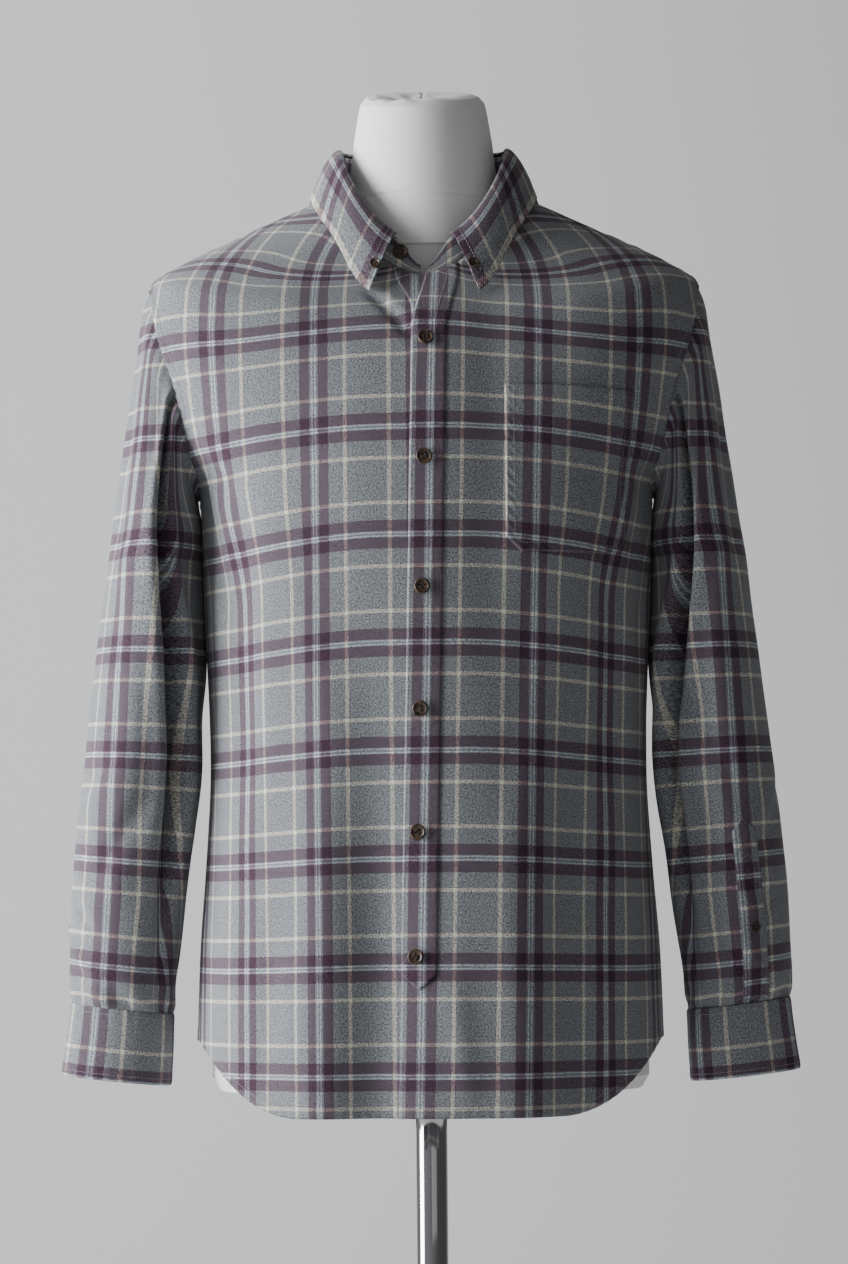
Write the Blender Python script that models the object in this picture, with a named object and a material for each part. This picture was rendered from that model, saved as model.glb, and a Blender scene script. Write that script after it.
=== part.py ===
"""Long-sleeved check shirt on a limbless dress form, with a chrome pole and a round base.

Metres, +Z up. The origin is on the floor under the middle of the base. The shirt's front
faces -Y and the wearer's left is +X. The body of the shirt is one surface, given by level
rings up from the hem to the neck seam, and each panel is a stretch of that surface between
its own seams. Every piece of cloth is a closed wall of its own thickness.
"""

import math

import bmesh
import bpy
import numpy as np
from mathutils import Matrix, Vector

# Cloth
WALL = 0.0015            # body, sleeves and yoke
TRIM_WALL = 0.0012       # plackets and pocket
COLLAR_WALL = 0.0020     # collar and cuffs, which are double cloth
LAYER_GAP = 0.0005       # between layers that lie on each other
SEAM_GAP = 0.0003        # between pieces that are sewn edge to edge

# Heights
HEM_FRONT = 0.616
HEM_BACK = 0.606
HEM_SIDE_RISE = 0.057
HIP = 0.740              # rows follow the hem below this height and are level above it
ARMPIT = 1.1175
SHOULDER = 1.290
NECK = 1.368
YOKE_BACK = 1.262        # back yoke seam, as a ring height
SQUARENESS = 0.03        # how much a ring is squarer than an ellipse
ARMHOLE_BITE = math.radians(28)
YOKE_FORWARD = math.radians(14)

# Rings of the shirt's body, from below the hem up to the neck seam. A ring is named by its
# height at the side, and dips or rises to its own heights at the front and the back.
RING_COLUMNS = ("side", "front", "back", "half_width", "front_depth", "back_depth")
RINGS = (
    (0.560, 0.560, 0.560, 0.1925, 0.1290, 0.1280),
    (0.670, 0.670, 0.670, 0.1905, 0.1280, 0.1260),
    (0.740, 0.740, 0.740, 0.1880, 0.1250, 0.1220),
    (0.810, 0.810, 0.810, 0.1830, 0.1210, 0.1160),
    (0.900, 0.900, 0.900, 0.1785, 0.1170, 0.1090),
    (1.020, 1.021, 1.021, 0.1825, 0.1190, 0.1110),
    (1.1175, 1.122, 1.124, 0.1857, 0.1230, 0.1160),
    (1.150, 1.158, 1.162, 0.2030, 0.1220, 0.1175),
    (1.195, 1.200, 1.206, 0.2210, 0.1160, 0.1150),
    (1.245, 1.234, 1.252, 0.2330, 0.1060, 0.1050),
    (1.290, 1.256, 1.290, 0.2255, 0.0960, 0.0920),
    (1.309, 1.264, 1.312, 0.1980, 0.0900, 0.0860),
    (1.327, 1.271, 1.334, 0.1580, 0.0850, 0.0790),
    (1.347, 1.278, 1.353, 0.1150, 0.0805, 0.0710),
    (1.368, 1.286, 1.372, 0.0705, 0.0760, 0.0640),
)

# Large folds of the body: where each runs across the front (or back), from its top to its
# foot, how far it stands out (or in), its half breadth, and the heights where it starts,
# is full, starts to fade and ends.
FOLD_COLUMNS = ("face", "x_top", "x_foot", "out", "breadth", "top", "full", "fading", "end")
FOLDS = (
    ("front", -0.084, -0.086, 0.0070, 0.028, 1.040, 0.760, 0.560, 0.500),
    ("front", -0.042, -0.041, -0.0065, 0.026, 1.040, 0.740, 0.560, 0.500),
    ("front", 0.056, 0.064, 0.0065, 0.030, 1.040, 0.760, 0.560, 0.500),
    ("front", 0.110, 0.118, -0.0045, 0.024, 1.040, 0.780, 0.560, 0.500),
    ("front", -0.149, -0.147, -0.0040, 0.013, 1.110, 1.020, 0.930, 0.800),
    ("front", 0.147, 0.146, -0.0045, 0.013, 1.110, 1.020, 0.930, 0.800),
    ("back", -0.085, -0.105, 0.0045, 0.028, 1.060, 0.800, 0.560, 0.500),
    ("back", -0.030, -0.040, -0.0045, 0.026, 1.040, 0.780, 0.560, 0.500),
    ("back", 0.030, 0.022, 0.0040, 0.026, 1.080, 0.800, 0.560, 0.500),
    ("back", 0.082, 0.090, -0.0050, 0.028, 1.020, 0.760, 0.560, 0.500),
)

# Placket and button band
PLACKET_WIDTH = 0.028
PLACKET_CENTRE_AT_TOP = 0.0032
PLACKET_TOP_BUTTON = 1.228
PLACKET_LEAN = 0.0228            # how far it drifts to the wearer's right, for each metre down
PLACKET_TURN = 0.011             # the top is turned back towards the wearer's left
PLACKET_POINT = 0.716
PLACKET_SHOULDER = 0.728
UNDER_EDGE = 0.013
LAP_FADE = 0.040

# Pocket, on the wearer's left
POCKET_LEFT = 0.0625
POCKET_RIGHT = 0.1705
POCKET_TOP = 1.186
POCKET_BOTTOM = 1.058
POCKET_CORNER = 0.012

# Sleeves: level sections below the armhole. Inner and outer are distances from the shirt's
# middle; the outer side stands higher than the inner by twice the tilt.
SLEEVE_COLUMNS = ("height", "inner", "outer", "middle_y", "half_depth", "tilt")
SLEEVE_SECTIONS = (
    (1.064, 0.1882, 0.2616, 0.000, 0.0680, 0.000),
    (0.982, 0.1860, 0.2717, -0.002, 0.0650, 0.001),
    (0.908, 0.1850, 0.2805, -0.004, 0.0610, 0.002),
    (0.826, 0.1945, 0.2890, -0.006, 0.0550, 0.004),
    (0.761, 0.2025, 0.2935, -0.008, 0.0490, 0.005),
    (0.716, 0.2080, 0.2940, -0.010, 0.0420, 0.005),
    (0.7005, 0.2095, 0.2925, -0.010, 0.0330, 0.005),
)
CUFF_SECTIONS = (
    (0.7000, 0.2085, 0.2945, -0.010, 0.0335, 0.005),
    (0.6700, 0.2095, 0.2980, -0.011, 0.0325, 0.005),
    (0.6415, 0.2110, 0.3020, -0.012, 0.0320, 0.005),
)
SLEEVE_ROWS_ABOVE = 6
CUFF_COLUMNS_ROUND = 20
VALLEY_DEPTH = 0.007             # the long fold down the front of each sleeve
VALLEY_ANGLE = math.radians(118)
CUFF_SLIT = math.radians(318)    # round from the outside, by the front
SLEEVE_PLACKET_ANGLES = {1: math.radians(75), -1: math.radians(-22)}
SLEEVE_PLACKET_WIDTH = 0.021
SLEEVE_PLACKET_TOP = 0.848
SLEEVE_PLACKET_FOOT = 0.703

# Collar: the stand's height above the neck seam, and the leaf's edge as points on the body
STAND_FRONT = 0.023
STAND_BACK_EXTRA = 0.013
STAND_END_HEIGHT = 0.0075
STAND_END_ANGLE = math.radians(1.8)
STAND_TOP_IN = 0.0035
STAND_FOOT = 0.0020
LEAF_END_ANGLE = math.radians(16)
LEAF_COLUMNS = ("on_stand", "edge_angle", "edge_ring")
LEAF_EDGE = (
    (180, 180, 1.350),
    (157, 158, 1.350),
    (135, 136, 1.351),
    (112, 113, 1.354),
    (90, 90, 1.358),
    (72, 66, 1.357),
    (56, 48, 1.356),
    (40, 36, 1.352),
    (28, 24.5, 1.341),
    (16, 12.5, 1.317),
)
LEAF_ROLL_OUT = 0.0075
LEAF_ROLL_UP = 0.0050
LEAF_RISE = 0.0032             # the roll starts this far above the stand's top edge
LEAF_STANDS_OFF = 0.0030       # and the leaf's edge this far off the fronts and yoke

# Buttons
BUTTON = 0.0127
SMALL_BUTTON = 0.0088
BUTTON_THICKNESS = 0.0028
FRONT_BUTTONS = (1.228, 1.134, 1.0327, 0.9362, 0.8390, 0.7418)
BUTTON_OFF_CENTRE = -0.0025

# Dress form, as round sections, and its stand
FORM_COLUMNS = ("height", "half_width", "front_depth", "back_depth")
FORM_SECTIONS = (
    (0.6295, 0.1600, 0.0960, 0.0950),
    (0.6320, 0.1730, 0.1060, 0.1040),
    (0.6420, 0.1785, 0.1110, 0.1090),
    (0.7000, 0.1780, 0.1110, 0.1090),
    (0.8100, 0.1700, 0.1060, 0.1020),
    (0.9000, 0.1650, 0.1020, 0.0960),
    (1.0200, 0.1690, 0.1050, 0.0980),
    (1.1200, 0.1730, 0.1100, 0.1030),
    (1.1700, 0.1780, 0.1080, 0.1030),
    (1.2150, 0.1850, 0.0970, 0.0960),
    (1.2500, 0.1900, 0.0800, 0.0860),
    (1.2700, 0.1820, 0.0660, 0.0740),
    (1.2900, 0.1600, 0.0580, 0.0650),
    (1.3050, 0.1280, 0.0560, 0.0600),
    (1.3150, 0.1000, 0.0560, 0.0570),
)
NECK_SECTIONS = (
    (1.3153, 0.0590, 0.0590, 0.0540),
    (1.3800, 0.0585, 0.0560, 0.0530),
    (1.4100, 0.0545, 0.0530, 0.0510),
    (1.4360, 0.0515, 0.0500, 0.0490),
    (1.4460, 0.0480, 0.0465, 0.0460),
    (1.4500, 0.0400, 0.0390, 0.0390),
)
NECK_SLANT = 0.30                # how steeply the neck's top falls to the front
FORM_SIDES = 28
POLE_RADIUS = 0.0130
POLE_FOOT = 0.0300
COLLAR_RING_RADIUS = 0.0210      # chrome ring where the pole enters the form
COLLAR_RING_HEIGHT = 0.0120
BASE_RADIUS = 0.1600
BASE_PROFILE = ((0.000, 0.0), (1.000, 0.0), (1.000, 0.006), (0.985, 0.010), (0.55, 0.014),
                (0.16, 0.0200), (0.13, 0.0240), (0.13, 0.0340))
FIT_GAP = 0.0003


# ---------------------------------------------------------------- numbers to curves
def smooth_curve(places, values):
    """A curve through the values that doesn't overshoot between them."""
    places = np.asarray(places, float)
    values = np.asarray(values, float)
    step = np.diff(places)
    slope = np.diff(values) / step
    tangent = np.zeros(len(values))
    tangent[0] = slope[0]
    tangent[-1] = slope[-1]
    for i in range(1, len(values) - 1):
        if slope[i - 1] * slope[i] > 0:
            tangent[i] = 2 * slope[i - 1] * slope[i] / (slope[i - 1] + slope[i])

    def curve(place):
        place = np.clip(place, places[0], places[-1])
        i = np.clip(np.searchsorted(places, place) - 1, 0, len(step) - 1)
        t = (place - places[i]) / step[i]
        rest = 1 - t
        ends = values[i] * rest * rest * (1 + 2 * t) + values[i + 1] * t * t * (3 - 2 * t)
        return ends + step[i] * t * rest * (tangent[i] * rest - tangent[i + 1] * t)

    return curve


def table_curves(columns, rows):
    """A smooth curve for each column after the first, by the first column's value."""
    rows = sorted(rows)
    places = [row[0] for row in rows]
    return {
        name: smooth_curve(places, [row[i] for row in rows])
        for i, name in enumerate(columns)
        if i
    }


def ease(value, start, end):
    """0 at start and 1 at end, smoothly, whichever of the two is larger."""
    t = np.clip((value - start) / (end - start), 0.0, 1.0)
    return t * t * (3 - 2 * t)


RING = table_curves(RING_COLUMNS, RINGS)


# ---------------------------------------------------------------- the shirt's body surface
def fold_out(x, z, face):
    """How far the folds move the cloth out of its ring."""
    out = 0.0
    for row in FOLDS:
        fold = dict(zip(FOLD_COLUMNS, row))
        if fold["face"] != face:
            continue
        along = ease(z, fold["top"], fold["full"]) * (1 - ease(z, fold["fading"], fold["end"]))
        middle = fold["x_foot"] + (fold["x_top"] - fold["x_foot"]) * (z - HIP) / (ARMPIT - HIP)
        out += fold["out"] * along * math.exp(-(((x - middle) / fold["breadth"]) ** 2))
    return out


def body_point(angle, ring):
    """The outer face of the body at an angle from the middle front, towards +X, on a ring."""
    width = RING["half_width"](ring)
    at_front = math.cos(angle) > 0
    depth = RING["front_depth" if at_front else "back_depth"](ring)
    level = RING["front" if at_front else "back"](ring)
    across = (math.sin(angle) + SQUARENESS * math.sin(3 * angle)) / (1 - SQUARENESS)
    forward = (math.cos(angle) - SQUARENESS * math.cos(3 * angle)) / (1 - SQUARENESS)
    point = Vector((width * across, -depth * forward, ring + (level - ring) * math.cos(angle) ** 2))
    out = Vector((across / width, -forward / depth, 0)).normalized()
    return point + out * fold_out(point.x, point.z, "front" if at_front else "back")


def body_normal(angle, ring):
    step = 0.004
    round_it = body_point(angle + step, ring) - body_point(angle - step, ring)
    up_it = body_point(angle, ring + step) - body_point(angle, ring - step)
    return round_it.cross(up_it).normalized()


def on_body(angle, ring, lift=0.0):
    return body_point(angle, ring) + body_normal(angle, ring) * lift


def wall_on_body(angle, ring, lift=0.0):
    """A point of a panel's outer face, and the direction in which its wall goes in."""
    normal = body_normal(angle, ring)
    return body_point(angle, ring) + normal * lift, -normal


def ring_arcs():
    """For heights up the body, the distance round the ring from the middle front."""
    angles = np.linspace(0, math.pi, 91)
    levels = np.linspace(RINGS[0][0], NECK, 90)
    arcs = []
    for level in levels:
        points = [body_point(a, level) for a in angles]
        steps = [0.0] + [(b - a).length for a, b in zip(points, points[1:])]
        arcs.append(np.cumsum(steps))
    return angles, levels, np.array(arcs)


ANGLES, LEVELS, ARCS = ring_arcs()


def arc_row(ring):
    place = np.clip((ring - LEVELS[0]) / (LEVELS[1] - LEVELS[0]), 0, len(LEVELS) - 1.001)
    low = int(place)
    return ARCS[low] * (1 - (place - low)) + ARCS[low + 1] * (place - low)


def angle_at(distance, ring):
    """The angle that lies this far round the ring from the middle front."""
    found = np.interp(abs(distance), arc_row(ring), ANGLES)
    return math.copysign(found, distance)


def distance_at(angle, ring):
    return math.copysign(np.interp(abs(angle), ANGLES, arc_row(ring)), angle)


# ---------------------------------------------------------------- seams on the body
def hem_height(angle):
    """The shirt tail's edge: long at front and back, and short at the sides."""
    side = ease(abs(math.degrees(angle)), 30, 80) * ease(abs(math.degrees(angle)), 150, 100)
    middle = HEM_FRONT if math.cos(angle) > 0 else HEM_BACK
    return middle + (HEM_FRONT + HEM_SIDE_RISE - middle) * side


def armhole_angle(ring, back=False):
    """Where the armhole's edge, or the side seam below it, crosses a ring."""
    share = min(max((ring - ARMPIT) / (SHOULDER - ARMPIT), 0.0), 1.0)
    bite = ARMHOLE_BITE * (2 * math.sqrt(share * (1 - share))) ** 0.9
    return math.pi / 2 + bite if back else math.pi / 2 - bite


def front_side_angle(ring):
    """The front's outer edge: side seam, armhole, and the yoke's front seam."""
    if ring <= SHOULDER:
        return armhole_angle(ring)
    return math.pi / 2 - YOKE_FORWARD * ease(ring, SHOULDER, NECK)


def placket_centre(z):
    straight = PLACKET_CENTRE_AT_TOP - PLACKET_LEAN * (PLACKET_TOP_BUTTON - z)
    return straight + PLACKET_TURN * ease(z, 1.235, 1.295)


def under_edge(z):
    straight = PLACKET_CENTRE_AT_TOP - PLACKET_LEAN * (PLACKET_TOP_BUTTON - z)
    return straight + UNDER_EDGE - (UNDER_EDGE + 0.006) * ease(z, 1.255, 1.297)


def lap_lift(distance):
    """The lapping front stands out from the body's surface over the button band."""
    full = TRIM_WALL + WALL + 2 * LAYER_GAP
    return full * (1 - ease(distance, 0.018, 0.018 + LAP_FADE))


SLANTED_GAP = SEAM_GAP * 1.4   # a gap along a ring, where the seam crosses it at a slant


def seam_inset(angle, ring, sign):
    """Half of the seam's gap, as an angle, on the side that sign gives."""
    speed = (body_point(angle + 0.01, ring) - body_point(angle - 0.01, ring)).length / 0.02
    return sign * 0.5 * SLANTED_GAP / max(speed, 0.02)


# ---------------------------------------------------------------- making solids
def material(name, colour, roughness, metallic=0.0):
    made = bpy.data.materials.new(name)
    made.use_nodes = True
    shader = made.node_tree.nodes["Principled BSDF"]
    shader.inputs["Base Color"].default_value = (*colour, 1)
    shader.inputs["Roughness"].default_value = roughness
    shader.inputs["Metallic"].default_value = metallic
    made.diffuse_color = (*colour, 1)
    return made


CLOTH_COLOUR = (0.25, 0.27, 0.28)
HORN_COLOUR = (0.06, 0.035, 0.02)
FORM_COLOUR = (0.78, 0.76, 0.72)
CHROME_COLOUR = (0.60, 0.60, 0.60)


def add_object(name, bm, colour, roughness=0.9, metallic=0.0):
    mesh = bpy.data.meshes.new(name)
    bm.to_mesh(mesh)
    bm.free()
    made = bpy.data.objects.new(name, mesh)
    bpy.context.scene.collection.objects.link(made)
    made.data.materials.append(material(name + "_finish", colour, roughness, metallic))
    return made


def cloth(name, across, up, place, wall, inside, closed=False, colour=CLOTH_COLOUR):
    """A closed wall of cloth. place(i, j) gives a point of its outer face over a grid of
    across by up cells, and the direction its wall goes in, or None for square to the cloth.
    inside(point) is a point that the inner face looks at."""
    bm = bmesh.new()
    bmesh.ops.create_grid(bm, x_segments=across, y_segments=up, size=1.0)
    number = bm.verts.layers.int.new("number")
    inward = {}
    for vertex in bm.verts:
        i = round((vertex.co.x + 1) / 2 * across)
        j = round((vertex.co.y + 1) / 2 * up)
        vertex[number] = i + j * (across + 1)
        vertex.co, inward[vertex[number]] = place(i, j)
    if closed:
        bmesh.ops.remove_doubles(bm, verts=bm.verts, dist=1e-6)
    bm.normal_update()
    facing = sum(
        f.normal.dot(f.calc_center_median() - inside(f.calc_center_median())) * f.calc_area()
        for f in bm.faces
    )
    if facing < 0:
        bmesh.ops.reverse_faces(bm, faces=bm.faces)
        bm.normal_update()
    for vertex in bm.verts:
        inward[vertex[number]] = inward[vertex[number]] or -vertex.normal
    sheet = list(bm.faces) + list(bm.edges) + list(bm.verts)
    made = bmesh.ops.extrude_face_region(bm, geom=sheet, use_keep_orig=True)
    for vertex in made["geom"]:
        if isinstance(vertex, bmesh.types.BMVert):
            vertex.co += inward[vertex[number]] * wall
    bmesh.ops.recalc_face_normals(bm, faces=bm.faces)
    return add_object(name, bm, colour)


def middle_of_body(point):
    return Vector((0, 0, min(point.z, 1.27)))


# ---------------------------------------------------------------- body panels
SKIRT_SHARES = (0.0, 0.3, 0.65, 1.0)
BODY_RINGS = (0.82, 0.90, 0.98, 1.02, POCKET_BOTTOM, POCKET_BOTTOM + POCKET_CORNER)
ARMHOLE_RINGS = (ARMPIT, 1.130, 1.155, POCKET_TOP, 1.220, 1.250, 1.275, 1.286, SHOULDER)
SLOPE_RINGS = (1.303, 1.318, 1.334, 1.352, NECK)
FRONT_ROWS = len(SKIRT_SHARES) + len(BODY_RINGS) + len(ARMHOLE_RINGS) + len(SLOPE_RINGS) - 1
FRONT_RINGS = BODY_RINGS + ARMHOLE_RINGS + SLOPE_RINGS
BACK_RINGS = (0.82, 0.90, 0.98, 1.05, ARMPIT, 1.130, 1.155, 1.186, 1.220, 1.245, YOKE_BACK)
YOKE_RINGS = (YOKE_BACK, 1.275, 1.286, SHOULDER, 1.303, 1.318, 1.334, 1.352, NECK)


def ring_of_row(row, rings, angle):
    """The ring of a row: the lowest rows follow the hem."""
    if row < len(SKIRT_SHARES):
        foot = hem_height(angle)
        return foot + (HIP - foot) * SKIRT_SHARES[row]
    return rings[row - len(SKIRT_SHARES)]


# Columns of the front that the pocket lies on, then shares of what is left to the side
POCKET_COLUMNS = (POCKET_LEFT, POCKET_LEFT + POCKET_CORNER, 0.098, 0.122, 0.146,
                  POCKET_RIGHT - POCKET_CORNER, POCKET_RIGHT)
BEYOND_POCKET = (0.36, 0.70, 1.0)
CHEST_REACH = 0.2300           # from the placket to the side seam, round a front
FRONT_COLUMNS = 3 + 1 + len(POCKET_COLUMNS) + len(BEYOND_POCKET)


def front_distance(column, ring, z, side):
    """Distance round from the middle front of a column of a front, always towards its side."""
    if side > 0:
        edge = placket_centre(z) - PLACKET_WIDTH / 2
    else:
        edge = -under_edge(z)
    limit = distance_at(front_side_angle(ring), ring)
    limit -= SEAM_GAP * 0.7
    if column < 3:
        return edge + PLACKET_WIDTH / 2 * column
    inner = edge + PLACKET_WIDTH
    fixed = (0.040, *POCKET_COLUMNS)
    last = fixed[-1]
    if column - 3 < len(fixed):
        share = (fixed[column - 3] - inner) / (last - inner)
    else:
        share = 1.0
    reach = inner + (min(last, limit) - inner) * share
    narrowed = inner + (limit - inner) * (last - inner) / (CHEST_REACH - inner) * share
    top = ease(ring, 1.200, SHOULDER)
    end_fixed = reach * (1 - top) + narrowed * top
    if column - 3 < len(fixed):
        return end_fixed
    beyond = BEYOND_POCKET[column - 3 - len(fixed)]
    return end_fixed + (limit - end_fixed) * beyond


def front_place(column, row, side, lift=0.0):
    """A grid point of a front: side is +1 for the wearer's left and -1 for the right."""
    ring = ring_of_row(row, FRONT_RINGS, 0.0)
    for _ in range(3):
        z = body_point(0.0, ring).z
        distance = front_distance(column, ring, z, side)
        angle = angle_at(distance, ring)
        ring = ring_of_row(row, FRONT_RINGS, angle)
    if side > 0:
        lift += lap_lift(distance)
    return wall_on_body(side * angle, ring, lift)


def build_front(name, side):
    return cloth(
        name, FRONT_COLUMNS - 1, FRONT_ROWS,
        lambda i, j: front_place(i, j, side),
        WALL, middle_of_body,
    )


BACK_COLUMNS = 18


def back_edge_angle(ring):
    return armhole_angle(ring, back=True) + seam_inset(math.pi / 2, ring, 1)


def back_place(column, row):
    share = column / BACK_COLUMNS
    ring = ring_of_row(row, BACK_RINGS, math.pi)
    for _ in range(3):
        start = back_edge_angle(ring)
        angle = start + (2 * math.pi - 2 * start) * share
        ring = ring_of_row(row, BACK_RINGS, math.pi - abs(math.pi - angle))
    if row == len(SKIRT_SHARES) + len(BACK_RINGS) - 1:
        ring -= SEAM_GAP * 0.7
    return wall_on_body(angle, ring)


def yoke_place(column, row):
    share = column / BACK_COLUMNS
    ring = YOKE_RINGS[row]
    if ring <= SHOULDER:
        start = armhole_angle(ring, back=True)
    else:
        start = front_side_angle(ring) + seam_inset(math.pi / 2, ring, 1)
    angle = start + (2 * math.pi - 2 * start) * share
    if row == 0:
        ring += SEAM_GAP * 0.7
    return wall_on_body(angle, ring)


def build_back_and_yoke():
    back_rows = len(SKIRT_SHARES) + len(BACK_RINGS) - 1
    cloth("back", BACK_COLUMNS, back_rows, back_place, WALL, middle_of_body)
    cloth("yoke", BACK_COLUMNS, len(YOKE_RINGS) - 1, yoke_place, WALL, middle_of_body)


# ---------------------------------------------------------------- plackets and pocket
PLACKET_FIRST_ROW = len(SKIRT_SHARES)


def build_placket():
    """The front placket, from the neck seam down to its point."""
    lift = LAYER_GAP + TRIM_WALL
    rows = FRONT_ROWS - PLACKET_FIRST_ROW + 1
    heights = (PLACKET_POINT, PLACKET_SHOULDER, HIP)

    def place(i, j):
        share = i / 2
        if j < len(heights):
            ring = heights[j]
            if j == 0:
                share = 0.5 + (share - 0.5) * 0.16
        else:
            ring = FRONT_RINGS[j - len(heights)]
        z = body_point(0.0, ring).z
        distance = placket_centre(z) + (share - 0.5) * PLACKET_WIDTH
        angle = angle_at(distance, ring)
        return wall_on_body(angle, ring, lap_lift(distance) + lift)

    cloth("front_placket", 2, rows + len(heights) - 2, place, TRIM_WALL, middle_of_body)


BAND_INSET = 0.0006            # the band ends this far inside the under front's edge


def build_button_band():
    """The band on the under front that the buttons are sewn to."""
    lift = LAYER_GAP + TRIM_WALL

    def place(i, j):
        ring = ring_of_row(j, FRONT_RINGS, 0.0)
        z = body_point(0.0, ring).z
        distance = under_edge(z) - BAND_INSET - i / 2 * (PLACKET_WIDTH - 2 * BAND_INSET)
        return wall_on_body(angle_at(distance, ring), ring, lift)

    cloth("button_band", 2, FRONT_ROWS, place, TRIM_WALL, middle_of_body)


def build_pocket():
    """The patch pocket, on the front's own columns and rows, with its lower corners cut."""
    first_column = 4
    last_column = first_column + len(POCKET_COLUMNS) - 1
    first_row = len(SKIRT_SHARES) + BODY_RINGS.index(POCKET_BOTTOM)
    last_row = len(SKIRT_SHARES) + len(BODY_RINGS) + ARMHOLE_RINGS.index(POCKET_TOP)
    across = last_column - first_column
    lift = LAYER_GAP + TRIM_WALL

    def place(i, j):
        point, inward = front_place(first_column + i, first_row + j, 1, lift)
        if j == 0 and i in (0, across):
            beside = front_place(first_column + (1 if i == 0 else across - 1), first_row, 1, lift)
            above = front_place(first_column + i, first_row + 1, 1, lift)
            point = (beside[0] + above[0]) / 2
        return point, inward

    cloth("pocket", across, last_row - first_row, place, TRIM_WALL, middle_of_body)


# ---------------------------------------------------------------- sleeves and cuffs
SLEEVE = table_curves(SLEEVE_COLUMNS, SLEEVE_SECTIONS)
CUFF = table_curves(SLEEVE_COLUMNS, CUFF_SECTIONS)
SLEEVE_TOP = SLEEVE_SECTIONS[0][0]
SLEEVE_FOOT = SLEEVE_SECTIONS[-1][0]
SLEEVE_HEIGHTS = (1.064, 1.024, 0.982, 0.945, 0.908, 0.867, 0.826, 0.793, 0.761, 0.735,
                  0.716, 0.706, 0.7005)


def sleeve_angles():
    """Angles round the sleeve that meet the body's own rows along the armhole."""
    back = [ring for ring in BACK_RINGS + YOKE_RINGS[1:] if ARMPIT < ring < SHOULDER]
    shares = [(ring - ARMPIT) / (SHOULDER - ARMPIT) for ring in ARMHOLE_RINGS[::-1]]
    down = [math.acos(2 * share - 1) for share in shares]
    shares = [(ring - ARMPIT) / (SHOULDER - ARMPIT) for ring in back]
    return down + [2 * math.pi - math.acos(2 * share - 1) for share in shares]


SLEEVE_ANGLES = sleeve_angles()


def section_point(curves, angle, height, valley=0.0):
    """A point of a level section of the left sleeve. The angle runs from the outside, by
    the front, the inside and the back."""
    inner = curves["inner"](height)
    outer = curves["outer"](height)
    depth = curves["half_depth"](height)
    x = (inner + outer) / 2 + (outer - inner) / 2 * math.cos(angle)
    y = curves["middle_y"](height) - depth * math.sin(angle)
    y += valley * math.exp(-(((angle - VALLEY_ANGLE) / math.radians(24)) ** 2))
    return Vector((x, y, height + curves["tilt"](height) * math.cos(angle)))


def armhole_point(angle, away):
    """A point of the left armhole, by the same angle, this far off the body's edge, and the
    direction its wall goes in: with the body's wall at the shoulder, and outwards below."""
    share = (1 + math.cos(angle)) / 2
    ring = ARMPIT + share * (SHOULDER - ARMPIT)
    back = math.sin(angle) < -1e-9
    round_body = armhole_angle(ring, back)
    off_edge = Vector((1, 0, -0.65 * max(0.0, math.cos(angle)))).normalized()
    inward = (-body_normal(round_body, ring)).lerp(Vector((0.9, 0, 0.4)), ease(share, 0.30, 0.0))
    return body_point(round_body, ring) + off_edge * away, inward.normalized()


def sleeve_point(angle, row):
    if row >= SLEEVE_ROWS_ABOVE:
        height = SLEEVE_HEIGHTS[row - SLEEVE_ROWS_ABOVE]
        valley = VALLEY_DEPTH * ease(height, 0.74, 0.86)
        return section_point(SLEEVE, angle, height, valley), None
    if row == 0:
        return armhole_point(angle, 2 * SEAM_GAP)
    share = (row - 1) / (SLEEVE_ROWS_ABOVE - 1)
    start = armhole_point(angle, 0.0045)[0]
    end = section_point(SLEEVE, angle, SLEEVE_TOP, VALLEY_DEPTH)
    return start.lerp(end, share), None


def middle_of_sleeve(side):
    def middle(point):
        height = min(point.z, 1.10)
        curves = SLEEVE if height > SLEEVE_FOOT else CUFF
        x = (curves["inner"](height) + curves["outer"](height)) / 2
        return Vector((side * x, float(curves["middle_y"](height)), height))

    return middle


def build_sleeve(name, side):
    def place(i, j):
        point, inward = sleeve_point(SLEEVE_ANGLES[i % len(SLEEVE_ANGLES)], j)
        mirrored = Vector((side, 1, 1))
        return point * mirrored, inward and inward * mirrored

    rows = SLEEVE_ROWS_ABOVE + len(SLEEVE_HEIGHTS) - 1
    cloth(name, len(SLEEVE_ANGLES), rows, place, WALL, middle_of_sleeve(side), closed=True)


def build_cuff(name, side):
    """A band round the wrist, open at its slit, where its ends lie a layer apart."""
    overlap = math.radians(22)
    heights = (CUFF_SECTIONS[0][0] - SEAM_GAP - 0.0002, CUFF_SECTIONS[1][0], CUFF_SECTIONS[2][0])

    def place(i, j):
        share = i / CUFF_COLUMNS_ROUND
        angle = CUFF_SLIT - 2 * math.pi + (2 * math.pi + overlap) * share
        point = section_point(CUFF, angle, heights[j])
        middle = middle_of_sleeve(1)(point)
        out = (point - middle).normalized()
        top_layer = ease(share, 0.80, 0.93)
        under_layer = 1 - ease(share, 0.07, 0.2)
        point += out * (top_layer * 0.0012 - under_layer * 0.0022)
        return Vector((side * point.x, point.y, point.z)), None

    cloth(name, CUFF_COLUMNS_ROUND, 2, place, COLLAR_WALL, middle_of_sleeve(side))


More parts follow.
